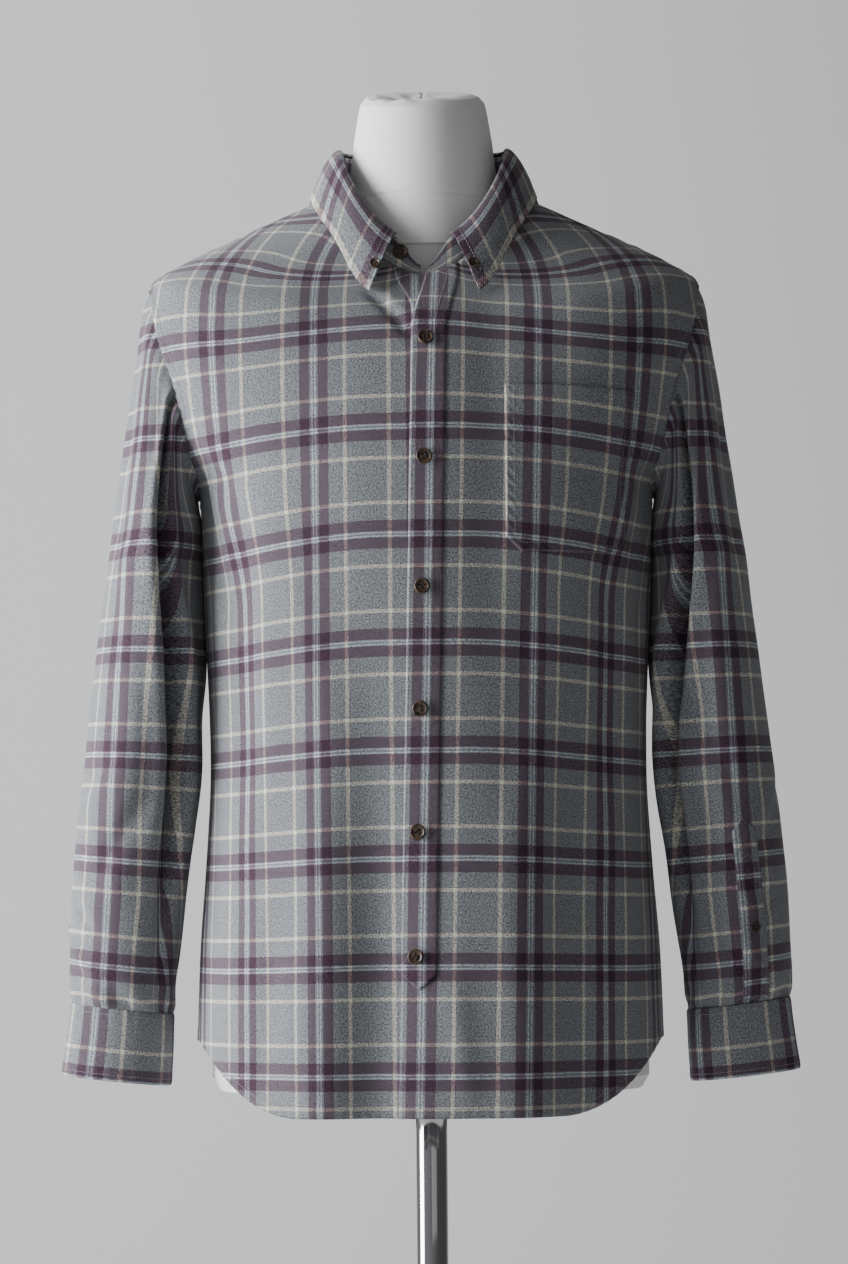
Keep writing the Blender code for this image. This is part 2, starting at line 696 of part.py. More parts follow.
def build_sleeve_placket(name, side):
    """The pointed strip over the sleeve's slit, above the cuff."""
    lift = LAYER_GAP + TRIM_WALL
    heights = (SLEEVE_PLACKET_FOOT, 0.716, 0.735, 0.761, 0.793, 0.826,
               SLEEVE_PLACKET_TOP - 0.010, SLEEVE_PLACKET_TOP)

    def place(i, j):
        height = heights[j]
        half = SLEEVE_PLACKET_WIDTH / 2 * (0.16 if j == len(heights) - 1 else 1.0)
        valley = VALLEY_DEPTH * ease(height, 0.74, 0.86)
        step = 0.02
        a = section_point(SLEEVE, SLEEVE_PLACKET_ANGLES[side] - step, height, valley)
        b = section_point(SLEEVE, SLEEVE_PLACKET_ANGLES[side] + step, height, valley)
        per_radian = (b - a).length / (2 * step)
        angle = SLEEVE_PLACKET_ANGLES[side] + (i / 2 - 0.5) * 2 * half / per_radian
        point = section_point(SLEEVE, angle, height, valley)
        out = (point - middle_of_sleeve(1)(point)).normalized()
        point += out * (lift + 0.0006)
        return Vector((side * point.x, point.y, point.z)), None

    cloth(name, 2, len(heights) - 1, place, TRIM_WALL, middle_of_sleeve(side))


# ---------------------------------------------------------------- collar
def stand_height(angle):
    back = (1 - math.cos(angle)) / 2
    full = STAND_FRONT + STAND_BACK_EXTRA * back
    low_end = 1 - ease(abs(angle), STAND_END_ANGLE, LEAF_END_ANGLE)
    return full + (STAND_END_HEIGHT - full) * low_end


def neck_out(angle):
    """The level direction straight out of the neck seam."""
    normal = body_normal(angle, NECK - 0.012)
    return Vector((normal.x, normal.y, 0)).normalized()


def stand_point(angle, share):
    """A point of the stand's outer face, from its seam (0) to its top (1)."""
    foot = body_point(angle, NECK)
    rise = STAND_FOOT + share * stand_height(angle)
    return foot - neck_out(angle) * (STAND_TOP_IN * share) + Vector((0, 0, rise))


def middle_of_neck(point):
    return Vector((0, 0, point.z))


def build_stand():
    columns = 28

    def place(i, j):
        start = STAND_END_ANGLE
        angle = start + (2 * math.pi - 2 * start) * i / columns
        if angle > math.pi:
            angle -= 2 * math.pi
        return stand_point(angle, j / 3), -neck_out(angle)

    cloth("collar_stand", columns, 3, place, COLLAR_WALL * 0.8, middle_of_neck)


LEAF = table_curves(LEAF_COLUMNS, LEAF_EDGE)
LEAF_ROWS = 6


def leaf_point(on_stand, share):
    """A point of the leaf's outer face: up from the stand's top, over the roll and down."""
    side = math.copysign(1, on_stand)
    degrees = abs(on_stand)
    angle = math.radians(degrees) * side
    top = stand_point(angle, 1)
    out = neck_out(angle)
    lift = COLLAR_WALL + LEAF_STANDS_OFF
    ring = float(LEAF["edge_ring"](degrees))
    edge = on_body(math.radians(float(LEAF["edge_angle"](degrees))) * side, ring, lift)
    up = Vector((0, 0, 1))
    start = top + up * LEAF_RISE - out * 0.0003
    over = start + up * (LEAF_ROLL_UP * 1.3) + out * (LEAF_ROLL_OUT * 0.5)
    down = start.lerp(edge, 0.35) + out * LEAF_ROLL_OUT + up * LEAF_ROLL_UP
    rest = 1 - share
    return (
        start * rest**3
        + over * (3 * rest**2 * share)
        + down * (3 * rest * share**2)
        + edge * share**3
    )


def build_leaf():
    half = [row[0] for row in LEAF_EDGE]
    round_it = sorted(half)[:-1] + [180] + [-angle for angle in half[1:]]

    def place(i, j):
        return leaf_point(round_it[i], j / LEAF_ROWS), None

    cloth("collar_leaf", len(round_it) - 1, LEAF_ROWS, place, COLLAR_WALL, middle_of_neck)


# ---------------------------------------------------------------- buttons
def button_mesh(size):
    """A turned button with a raised rim and four holes through its dish."""
    radius = size / 2
    thick = BUTTON_THICKNESS * size / BUTTON
    profile = (
        (0.0, 0.0), (0.82, 0.0), (1.0, 0.35), (1.0, 0.75), (0.88, 1.0), (0.72, 0.95),
        (0.60, 0.68), (0.0, 0.68),
    )
    bm = bmesh.new()
    points = [bm.verts.new((r * radius, 0, z * thick)) for r, z in profile]
    edges = [bm.edges.new(pair) for pair in zip(points, points[1:])]
    bmesh.ops.spin(
        bm, geom=points + edges, cent=(0, 0, 0), axis=(0, 0, 1), angle=2 * math.pi, steps=14,
        use_merge=True,
    )
    bmesh.ops.remove_doubles(bm, verts=bm.verts, dist=1e-6)
    bmesh.ops.recalc_face_normals(bm, faces=bm.faces)
    mesh = bpy.data.meshes.new("button")
    bm.to_mesh(mesh)
    bm.free()
    return mesh


def hole_cutter(name, size):
    """Four thin rods, which cut the button's holes."""
    bm = bmesh.new()
    for quarter in range(4):
        turn = math.pi / 4 + quarter * math.pi / 2
        reach = size * 0.13
        place = Matrix.Translation((reach * math.cos(turn), reach * math.sin(turn), 0))
        bmesh.ops.create_cone(
            bm, cap_ends=True, segments=6, radius1=size * 0.065, radius2=size * 0.065,
            depth=0.02, matrix=place,
        )
    cutter = add_object(name, bm, HORN_COLOUR)
    cutter.hide_render = True
    cutter.display_type = "WIRE"
    return cutter


BUTTON_MESHES = {}


def add_button(name, size, point, normal):
    """A button lying on a surface at point, facing along normal."""
    if size not in BUTTON_MESHES:
        cutter = hole_cutter(f"holes_{len(BUTTON_MESHES)}", size)
        whole = bpy.data.objects.new("whole", button_mesh(size))
        bpy.context.scene.collection.objects.link(whole)
        cut = whole.modifiers.new("Holes", "BOOLEAN")
        cut.operation = "DIFFERENCE"
        cut.object = cutter
        bpy.context.view_layer.update()
        graph = bpy.context.evaluated_depsgraph_get()
        BUTTON_MESHES[size] = bpy.data.meshes.new_from_object(whole.evaluated_get(graph))
        BUTTON_MESHES[size].materials.clear()
        bpy.data.objects.remove(whole)
        bpy.data.objects.remove(cutter)
    mesh = BUTTON_MESHES[size]
    made = bpy.data.objects.new(name, mesh)
    bpy.context.scene.collection.objects.link(made)
    if not mesh.materials:
        mesh.materials.append(material(f"horn_{len(BUTTON_MESHES)}", HORN_COLOUR, 0.35))
    normal = normal.normalized()
    made.rotation_mode = "QUATERNION"
    made.rotation_quaternion = normal.to_track_quat("Z", "Y")
    made.location = point + normal * FIT_GAP
    return made


def build_buttons():
    placket_lift = lap_lift(0) + LAYER_GAP + TRIM_WALL
    for number, z in enumerate(FRONT_BUTTONS, 1):
        ring = z
        for _ in range(4):
            ring += z - body_point(0.0, ring).z
        angle = angle_at(placket_centre(z) + BUTTON_OFF_CENTRE, ring)
        point = on_body(angle, ring, placket_lift + 0.0002)
        add_button(f"front_button_{number}", BUTTON, point, body_normal(angle, ring))
    angle = math.radians(-14)
    out = neck_out(angle)
    point = stand_point(angle, 0.56) + out * 0.0003
    slope = (stand_point(angle, 0.9) - stand_point(angle, 0.2)).normalized()
    facing = slope.cross(Vector((0, 0, 1)).cross(out)).normalized()
    facing = facing if facing.dot(out) > 0 else -facing
    add_button("stand_button", BUTTON, point + facing * 0.0003, facing)
    for name, side in (("collar_button_left", 1), ("collar_button_right", -1)):
        near = 17.6 * side
        a = leaf_point(near, 0.80)
        round_it = leaf_point(near + 1.5, 0.80) - leaf_point(near - 1.5, 0.80)
        down = leaf_point(near, 0.84) - leaf_point(near, 0.76)
        facing = round_it.cross(down).normalized()
        facing = facing if facing.y < 0 else -facing
        add_button(name, SMALL_BUTTON, a + facing * 0.0004, facing)
    for word, side in (("left", 1), ("right", -1)):
        height = 0.760
        point = section_point(SLEEVE, SLEEVE_PLACKET_ANGLES[side], height,
                              VALLEY_DEPTH * ease(height, 0.74, 0.86))
        out = (point - middle_of_sleeve(1)(point)).normalized()
        point += out * (LAYER_GAP + TRIM_WALL + 0.0010)
        add_sided_button(f"sleeve_button_{word}", SMALL_BUTTON, point, out, side)
        angle = CUFF_SLIT + math.radians(12)
        point = section_point(CUFF, angle, 0.671)
        out = (point - middle_of_sleeve(1)(point)).normalized()
        across = (section_point(CUFF, angle + 0.05, 0.671) - section_point(CUFF, angle - 0.05, 0.671))
        facing = across.normalized().cross(Vector((0, 0, 1)))
        facing = facing if facing.dot(out) > 0 else -facing
        point = point + out * CUFF_BUTTON_LIFT
        add_sided_button(f"cuff_button_{word}", SMALL_BUTTON, point, facing, side)


CUFF_BUTTON_LIFT = 0.0024


def add_sided_button(name, size, point, normal, side):
    mirrored = Vector((side, 1, 1))
    add_button(name, size, point * mirrored, normal * mirrored)


# ---------------------------------------------------------------- dress form and stand
def lathe(name, rows, columns, colour, roughness, metallic=0.0, slant=0.0, pivot=0.0):
    """A closed solid through level sections that aren't quite round."""
    bm = bmesh.new()
    loops = []
    for row in rows:
        section = dict(zip(columns, row))
        loop = []
        for i in range(FORM_SIDES):
            angle = 2 * math.pi * i / FORM_SIDES
            forward = math.cos(angle)
            depth = section["front_depth"] if forward > 0 else section["back_depth"]
            y = -depth * forward
            z = section["height"] + slant * y * max(0.0, section["height"] - pivot) / 0.07
            loop.append(bm.verts.new((section["half_width"] * math.sin(angle), y, z)))
        loops.append(loop)
        for a, b in zip(loop, loop[1:] + loop[:1]):
            bm.edges.new((a, b))
    for low, high in zip(loops, loops[1:]):
        edges = [bm.edges.get((a, b)) for loop in (low, high) for a, b in zip(loop, loop[1:] + loop[:1])]
        bmesh.ops.bridge_loops(bm, edges=edges)
    bm.faces.new(loops[0])
    bm.faces.new(loops[-1])
    bmesh.ops.recalc_face_normals(bm, faces=bm.faces)
    made = add_object(name, bm, colour, roughness, metallic)
    made.data.shade_smooth()
    made.data.set_sharp_from_angle(angle=math.radians(40))
    return made


def turned(name, profile, colour, roughness, metallic, steps=32):
    """A turned solid. The profile runs from the axis at its foot to the axis at its top."""
    bm = bmesh.new()
    points = [bm.verts.new((r, 0, z)) for r, z in profile]
    edges = [bm.edges.new(pair) for pair in zip(points, points[1:])]
    bmesh.ops.spin(
        bm, geom=points + edges, cent=(0, 0, 0), axis=(0, 0, 1), angle=2 * math.pi,
        steps=steps, use_merge=True,
    )
    bmesh.ops.remove_doubles(bm, verts=bm.verts, dist=1e-6)
    bmesh.ops.recalc_face_normals(bm, faces=bm.faces)
    made = add_object(name, bm, colour, roughness, metallic)
    made.data.shade_smooth()
    made.data.set_sharp_from_angle(angle=math.radians(30))
    return made


def build_form_and_stand():
    lathe("form_torso", FORM_SECTIONS, FORM_COLUMNS, FORM_COLOUR, 0.8)
    lathe("form_neck", NECK_SECTIONS, FORM_COLUMNS, FORM_COLOUR, 0.8, slant=NECK_SLANT, pivot=1.38)
    form_foot = FORM_SECTIONS[0][0]
    ring_top = form_foot - FIT_GAP
    ring_foot = ring_top - COLLAR_RING_HEIGHT
    bore = POLE_RADIUS + FIT_GAP
    turned(
        "pole", ((0, POLE_FOOT), (POLE_RADIUS, POLE_FOOT), (POLE_RADIUS, ring_top), (0, ring_top)),
        CHROME_COLOUR, 0.08, 1.0,
    )
    ring = (
        (bore, ring_foot), (COLLAR_RING_RADIUS, ring_foot), (COLLAR_RING_RADIUS, ring_top),
        (bore, ring_top), (bore, ring_foot),
    )
    turned("pole_ring", ring, CHROME_COLOUR, 0.08, 1.0)
    socket = [(BASE_RADIUS * r, z) for r, z in BASE_PROFILE]
    socket += [(bore, 0.0340), (bore, POLE_FOOT - FIT_GAP), (0, POLE_FOOT - FIT_GAP)]
    turned("base", socket, CHROME_COLOUR, 0.08, 1.0, steps=40)


def main():
    for old in list(bpy.data.objects):
        bpy.data.objects.remove(old)
    build_front("front_left", 1)
    build_front("front_right", -1)
    build_back_and_yoke()
    build_placket()
    build_button_band()
    build_pocket()
    for word, side in (("left", 1), ("right", -1)):
        build_sleeve(f"sleeve_{word}", side)
        build_cuff(f"cuff_{word}", side)
        build_sleeve_placket(f"sleeve_placket_{word}", side)
    build_stand()
    build_leaf()
    build_buttons()
    build_form_and_stand()


main()
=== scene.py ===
"""Looks of a check flannel shirt on a limbless dress form with a chrome pole and round base.

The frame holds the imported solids. Each cloth piece here is a thin shell on its solid's form,
with its folds and creases as soft ridges and troughs, and cloth coordinates in metres that
the woven check follows. Distances are in metres, +Z up, the shirt's front facing -Y.
"""

import math
from functools import partial

import bmesh
import bpy
import numpy as np
from mathutils import Matrix, Vector


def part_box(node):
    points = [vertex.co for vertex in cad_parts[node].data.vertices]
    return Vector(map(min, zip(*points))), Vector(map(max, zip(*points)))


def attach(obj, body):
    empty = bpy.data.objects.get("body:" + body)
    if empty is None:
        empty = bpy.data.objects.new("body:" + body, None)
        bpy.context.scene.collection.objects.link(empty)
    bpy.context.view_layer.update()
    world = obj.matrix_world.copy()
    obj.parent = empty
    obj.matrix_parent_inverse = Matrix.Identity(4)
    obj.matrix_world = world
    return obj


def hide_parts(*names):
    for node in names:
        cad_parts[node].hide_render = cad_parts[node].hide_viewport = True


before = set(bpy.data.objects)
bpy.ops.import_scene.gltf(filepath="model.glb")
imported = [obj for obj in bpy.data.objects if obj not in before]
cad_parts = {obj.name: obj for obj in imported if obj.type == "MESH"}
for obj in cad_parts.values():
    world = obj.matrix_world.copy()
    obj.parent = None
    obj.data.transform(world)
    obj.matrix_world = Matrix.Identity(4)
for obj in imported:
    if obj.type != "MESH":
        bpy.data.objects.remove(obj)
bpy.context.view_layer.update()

# ------------------------------------------------------------------ sizes of the shirt
CLOTH = 0.0009                 # one layer of brushed cotton
TRIM = 0.0012                  # plackets and pocket
DOUBLE = 0.0018                # collar and cuffs
CAD_WALL = 0.0015
CAD_TRIM = 0.0012
CAD_GAP = 0.0005
LIFT_TRIM = 0.0013
LAP = CAD_TRIM + CAD_WALL + 2 * CAD_GAP

HEM_FRONT = 0.616
HEM_BACK = 0.606
HEM_SIDE_RISE = 0.057
HIP = 0.740
ARMPIT = 1.1175
SHOULDER = 1.290
NECK = 1.368
YOKE_BACK = 1.262
SQUARENESS = 0.03
ARMHOLE_BITE = math.radians(28)
YOKE_FORWARD = math.radians(14)

RING_COLUMNS = ("side", "front", "back", "half_width", "front_depth", "back_depth")
RINGS = (
    (0.560, 0.560, 0.560, 0.1925, 0.1290, 0.1280),
    (0.670, 0.670, 0.670, 0.1905, 0.1280, 0.1260),
    (0.740, 0.740, 0.740, 0.1880, 0.1250, 0.1220),
    (0.810, 0.810, 0.810, 0.1830, 0.1210, 0.1160),
    (0.900, 0.900, 0.900, 0.1785, 0.1170, 0.1090),
    (1.020, 1.021, 1.021, 0.1825, 0.1190, 0.1110),
    (1.1175, 1.122, 1.124, 0.1857, 0.1230, 0.1160),
    (1.150, 1.158, 1.162, 0.2030, 0.1220, 0.1175),
    (1.195, 1.200, 1.206, 0.2210, 0.1160, 0.1150),
    (1.245, 1.234, 1.252, 0.2330, 0.1060, 0.1050),
    (1.290, 1.256, 1.290, 0.2255, 0.0960, 0.0920),
    (1.309, 1.264, 1.312, 0.1980, 0.0900, 0.0860),
    (1.327, 1.271, 1.334, 0.1580, 0.0850, 0.0790),
    (1.347, 1.278, 1.353, 0.1150, 0.0805, 0.0710),
    (1.368, 1.286, 1.372, 0.0705, 0.0760, 0.0640),
)

FOLD_COLUMNS = ("face", "x_top", "x_foot", "out", "breadth", "top", "full", "fading", "end")
FOLDS = (
    ("front", -0.084, -0.086, 0.0070, 0.028, 1.040, 0.760, 0.560, 0.500),
    ("front", -0.042, -0.041, -0.0065, 0.026, 1.040, 0.740, 0.560, 0.500),
    ("front", 0.056, 0.064, 0.0065, 0.030, 1.040, 0.760, 0.560, 0.500),
    ("front", 0.110, 0.118, -0.0045, 0.024, 1.040, 0.780, 0.560, 0.500),
    ("front", -0.149, -0.147, -0.0040, 0.013, 1.110, 1.020, 0.930, 0.800),
    ("front", 0.147, 0.146, -0.0045, 0.013, 1.110, 1.020, 0.930, 0.800),
    ("back", -0.085, -0.105, 0.0045, 0.028, 1.060, 0.800, 0.560, 0.500),
    ("back", -0.030, -0.040, -0.0045, 0.026, 1.040, 0.780, 0.560, 0.500),
    ("back", 0.030, 0.022, 0.0040, 0.026, 1.080, 0.800, 0.560, 0.500),
    ("back", 0.082, 0.090, -0.0050, 0.028, 1.020, 0.760, 0.560, 0.500),
)

# Small creases, in cloth coordinates: from (across, up) to (across, up), how far they stand
# out (or in) and their half breadth. Across is measured from the middle front or back.
CREASE_COLUMNS = ("across_a", "up_a", "across_b", "up_b", "out", "breadth")
FRONT_CREASES = (
    (-0.045, 1.285, -0.012, 1.235, -0.0028, 0.0050),
    (-0.200, 1.150, -0.150, 1.090, -0.0018, 0.0080),
    (-0.205, 1.118, -0.170, 1.010, -0.0022, 0.0090),
    (0.205, 1.140, 0.176, 1.040, -0.0026, 0.0090),
    (0.214, 1.120, 0.190, 0.960, -0.0022, 0.0090),
    (0.080, 1.020, 0.060, 0.860, -0.0012, 0.0120),
    (-0.110, 1.050, -0.080, 0.900, 0.0010, 0.0140),
    (0.018, 0.720, 0.030, 0.630, 0.0012, 0.0100),
    (-0.130, 0.760, -0.140, 0.640, -0.0016, 0.0110),
    (0.150, 0.800, 0.158, 0.660, -0.0018, 0.0110),
)
BACK_CREASES = (
    (-0.180, 1.120, -0.120, 1.020, -0.0020, 0.0100),
    (0.185, 1.120, 0.130, 1.000, -0.0022, 0.0100),
    (0.000, 1.230, 0.004, 1.050, -0.0012, 0.0120),
    (-0.060, 1.000, -0.050, 0.850, 0.0014, 0.0140),
    (0.060, 0.980, 0.052, 0.820, -0.0014, 0.0140),
)

PLACKET_WIDTH = 0.028
PLACKET_CENTRE_AT_TOP = 0.0032
PLACKET_TOP_BUTTON = 1.228
PLACKET_LEAN = 0.0228
PLACKET_TURN = 0.011
PLACKET_POINT = 0.716
PLACKET_SHOULDER = 0.728
UNDER_EDGE = 0.013
LAP_FADE = 0.040

POCKET_LEFT = 0.0625
POCKET_RIGHT = 0.1705
POCKET_TOP = 1.186
POCKET_BOTTOM = 1.058
POCKET_CORNER = 0.012

SLEEVE_COLUMNS = ("height", "inner", "outer", "middle_y", "half_depth", "tilt")
SLEEVE_SECTIONS = (
    (1.064, 0.1882, 0.2616, 0.000, 0.0680, 0.000),
    (0.982, 0.1860, 0.2717, -0.002, 0.0650, 0.001),
    (0.908, 0.1850, 0.2805, -0.004, 0.0610, 0.002),
    (0.826, 0.1945, 0.2890, -0.006, 0.0550, 0.004),
    (0.761, 0.2025, 0.2935, -0.008, 0.0490, 0.005),
    (0.716, 0.2080, 0.2940, -0.010, 0.0420, 0.005),
    (0.7010, 0.2093, 0.2930, -0.010, 0.0333, 0.005),
    (0.6975, 0.2105, 0.2918, -0.010, 0.0312, 0.005),
)
CUFF_SECTIONS = (
    (0.7000, 0.2085, 0.2945, -0.010, 0.0335, 0.005),
    (0.6700, 0.2095, 0.2980, -0.011, 0.0325, 0.005),
    (0.6415, 0.2110, 0.3020, -0.012, 0.0320, 0.005),
)
VALLEY_DEPTH = 0.007
VALLEY_ANGLE = math.radians(118)
CUFF_SLIT = math.radians(318)
SLEEVE_PLACKET_ANGLES = {1: math.radians(75), -1: math.radians(-22)}
SLEEVE_PLACKET_WIDTH = 0.021
SLEEVE_PLACKET_TOP = 0.848
SLEEVE_PLACKET_FOOT = 0.703

STAND_FRONT = 0.023
STAND_BACK_EXTRA = 0.013
STAND_END_HEIGHT = 0.0075
STAND_END_ANGLE = math.radians(1.8)
STAND_TOP_IN = 0.0035
STAND_FOOT = 0.0020
LEAF_END_ANGLE = math.radians(16)
LEAF_COLUMNS = ("on_stand", "edge_angle", "edge_ring")
LEAF_EDGE = (
    (180, 180, 1.350),
    (157, 158, 1.350),
    (135, 136, 1.351),
    (112, 113, 1.354),
    (90, 90, 1.358),
    (72, 66, 1.357),
    (56, 48, 1.356),
    (40, 36, 1.352),
    (28, 24.5, 1.341),
    (16, 12.5, 1.317),
)
LEAF_ROLL_OUT = 0.0075
LEAF_ROLL_UP = 0.0050

BUTTON = 0.0127
SMALL_BUTTON = 0.0088

# The check: one repeat of warp and of weft, and where a band pair's middle lies
WARP_REPEAT = 0.0848
WEFT_REPEAT = 0.0851
WARP_MIDDLE = 0.0
WEFT_MIDDLE = 0.9885


# ------------------------------------------------------------------ numbers to curves
def smooth_curve(places, values):
    """A curve through the values that doesn't overshoot between them."""
    places = np.asarray(places, float)
    values = np.asarray(values, float)
    step = np.diff(places)
    slope = np.diff(values) / step
    tangent = np.zeros(len(values))
    tangent[0] = slope[0]
    tangent[-1] = slope[-1]
    for i in range(1, len(values) - 1):
        if slope[i - 1] * slope[i] > 0:
            tangent[i] = 2 * slope[i - 1] * slope[i] / (slope[i - 1] + slope[i])

    def curve(place):
        place = np.clip(place, places[0], places[-1])
        i = np.clip(np.searchsorted(places, place) - 1, 0, len(step) - 1)
        t = (place - places[i]) / step[i]
        rest = 1 - t
        ends = values[i] * rest * rest * (1 + 2 * t) + values[i + 1] * t * t * (3 - 2 * t)
        return ends + step[i] * t * rest * (tangent[i] * rest - tangent[i + 1] * t)

    return curve


def table_curves(columns, rows):
    """A smooth curve for each column after the first, by the first column's value."""
    rows = sorted(rows)
    places = [row[0] for row in rows]
    return {
        name: smooth_curve(places, [row[i] for row in rows])
        for i, name in enumerate(columns)
        if i
    }


def ease(value, start, end):
    """0 at start and 1 at end, smoothly, whichever of the two is larger."""
    t = np.clip((value - start) / (end - start), 0.0, 1.0)
    return t * t * (3 - 2 * t)


def bump_shape(offset, breadth):
    return np.exp(-((offset / breadth) ** 2))


def unit(vectors):
    return vectors / np.maximum(np.linalg.norm(vectors, axis=-1, keepdims=True), 1e-12)


def stacked(x, y, z):
    return np.stack(np.broadcast_arrays(x, y, z), axis=-1)


def creases(across, up, rows):
    """The height of soft troughs and ridges, each along its own line."""
    height = np.zeros(np.broadcast(across, up).shape)
    for row in rows:
        crease = dict(zip(CREASE_COLUMNS, row))
        start = np.array([crease["across_a"], crease["up_a"]])
        along = np.array([crease["across_b"], crease["up_b"]]) - start
        length = np.hypot(*along)
        along = along / length
        da = across - start[0]
        du = up - start[1]
        place = (da * along[0] + du * along[1]) / length
        aside = (du * along[0] - da * along[1]) / crease["breadth"]
        fade = ease(place, -0.25, 0.3) * (1 - ease(place, 0.7, 1.25))
        profile = np.exp(-(aside**2)) - 0.35 * np.exp(-(((aside - 2.2) / 1.4) ** 2))
        height += crease["out"] * fade * profile
    return height


def ripple(a, b, seed, size=0.05):
    """Soft uneven waves, a few tenths of their unit high, which never repeat."""
    waves = np.random.default_rng(seed)
    height = np.zeros(np.broadcast(a, b).shape)
    for _ in range(9):
        turn = waves.uniform(0, 2 * math.pi)
        pitch = size * waves.uniform(0.6, 2.2)
        phase = waves.uniform(0, 2 * math.pi)
        height += np.sin((a * math.cos(turn) + b * math.sin(turn)) * 2 * math.pi / pitch + phase)
    return height / 9


def pucker(along, from_seam, seed, reach=0.007, pitch=0.0085):
    """The small gathers that a row of stitches draws up beside a seam."""
    beat = np.sin(along * 2 * math.pi / pitch + 2.5 * ripple(along, 0 * along, seed, 0.02))
    return beat * np.exp(-((from_seam / reach) ** 2))


# ------------------------------------------------------------------ the body's surface
RING = table_curves(RING_COLUMNS, RINGS)


def fold_out(x, z, front):
    out = np.zeros(np.broadcast(x, z).shape)
    for row in FOLDS:
        fold = dict(zip(FOLD_COLUMNS, row))
        here = front if fold["face"] == "front" else ~front
        along = ease(z, fold["top"], fold["full"]) * (1 - ease(z, fold["fading"], fold["end"]))
        middle = fold["x_foot"] + (fold["x_top"] - fold["x_foot"]) * (z - HIP) / (ARMPIT - HIP)
        out = out + here * fold["out"] * along * bump_shape(x - middle, fold["breadth"])
    return out


def body_surface(angle, ring):
    """Points of the body's outer face, by the angle from the middle front and the ring."""
    angle = np.asarray(angle, float)
    ring = np.asarray(ring, float)
    front = np.cos(angle) > 0
    width = RING["half_width"](ring)
    depth = np.where(front, RING["front_depth"](ring), RING["back_depth"](ring))
    level = np.where(front, RING["front"](ring), RING["back"](ring))
    across = (np.sin(angle) + SQUARENESS * np.sin(3 * angle)) / (1 - SQUARENESS)
    forward = (np.cos(angle) - SQUARENESS * np.cos(3 * angle)) / (1 - SQUARENESS)
    z = ring + (level - ring) * np.cos(angle) ** 2
    point = stacked(width * across, -depth * forward, z)
    out = unit(stacked(across / width, -forward / depth, 0.0))
    return point + out * fold_out(point[..., 0], z, front)[..., None]


def body_normal(angle, ring):
    step = 0.004
    round_it = body_surface(angle + step, ring) - body_surface(angle - step, ring)
    up_it = body_surface(angle, ring + step) - body_surface(angle, ring - step)
    return unit(np.cross(round_it, up_it))


def on_body(angle, ring, lift=0.0):
    lift = np.asarray(lift, float)[..., None]
    return body_surface(angle, ring) + body_normal(angle, ring) * lift


def arc_tables(side):
    """The distance round each ring from the middle front, towards one side."""
    angles = np.linspace(0, math.pi, 181)
    levels = np.linspace(RINGS[0][0], NECK, 180)
    grid = body_surface(side * angles[None, :], levels[:, None])
    steps = np.linalg.norm(np.diff(grid, axis=1), axis=-1)
    arcs = np.concatenate([np.zeros((len(levels), 1)), np.cumsum(steps, axis=1)], axis=1)
    return angles, levels, arcs


ARCS = {side: arc_tables(side) for side in (1, -1)}


def look_up(table, row_place, column_place):
    """Bilinear look-up at fractional places."""
    row_place = np.clip(row_place, 0, table.shape[0] - 1.001)
    column_place = np.clip(column_place, 0, table.shape[1] - 1.001)
    i = row_place.astype(int)
    j = column_place.astype(int)
    a = row_place - i
    b = column_place - j
    low = table[i, j] * (1 - b) + table[i, j + 1] * b
    high = table[i + 1, j] * (1 - b) + table[i + 1, j + 1] * b
    return low * (1 - a) + high * a


def distance_at(angle, ring, side=1):
    angles, levels, arcs = ARCS[side]
    angle, ring = np.broadcast_arrays(np.asarray(angle, float), np.asarray(ring, float))
    row = (ring - levels[0]) / (levels[1] - levels[0])
    return look_up(arcs, row, angle / (angles[1] - angles[0]))


def inverse_arcs(side, shares=220):
    angles, _, arcs = ARCS[side]
    share = np.linspace(0, 1, shares)
    rows = [np.interp(share * row[-1], row, angles) for row in arcs]
    return np.array(rows), arcs[:, -1]


INVERSE = {side: inverse_arcs(side) for side in (1, -1)}


def angle_at(distance, ring, side=1):
    """The angle this far round the ring from the middle front, for distances of one side.
    A negative distance lies on the other side."""
    distance, ring = np.broadcast_arrays(np.asarray(distance, float), np.asarray(ring, float))
    levels = ARCS[side][1]
    row = (ring - levels[0]) / (levels[1] - levels[0])
    found = []
    for way in (side, -side):
        table, whole = INVERSE[way]
        total = np.interp(ring, levels, whole)
        share = np.abs(distance) / total * (table.shape[1] - 1)
        found.append(look_up(table, row, share))
    return np.where(distance >= 0, found[0], -found[1])


# ------------------------------------------------------------------ seams on the body
def hem_height(angle):
    degrees = np.abs(np.degrees(angle))
    side = ease(degrees, 30, 80) * ease(degrees, 150, 100)
    middle = np.where(np.cos(angle) > 0, HEM_FRONT, HEM_BACK)
    return middle + (HEM_FRONT + HEM_SIDE_RISE - middle) * side


def armhole_bite(ring):
    share = np.clip((ring - ARMPIT) / (SHOULDER - ARMPIT), 0.0, 1.0)
    return ARMHOLE_BITE * (2 * np.sqrt(share * (1 - share))) ** 0.9


def front_side_angle(ring):
    low = math.pi / 2 - armhole_bite(ring)
    high = math.pi / 2 - YOKE_FORWARD * ease(ring, SHOULDER, NECK)
    return np.where(ring <= SHOULDER, low, high)


def placket_straight(z):
    return PLACKET_CENTRE_AT_TOP - PLACKET_LEAN * (PLACKET_TOP_BUTTON - z)


def placket_centre(z):
    return placket_straight(z) + PLACKET_TURN * ease(z, 1.235, 1.295)


def under_edge(z):
    return placket_straight(z) + UNDER_EDGE - (UNDER_EDGE + 0.006) * ease(z, 1.255, 1.297)


def lap_lift(distance):
    return LAP * (1 - ease(distance, 0.018, 0.018 + LAP_FADE))


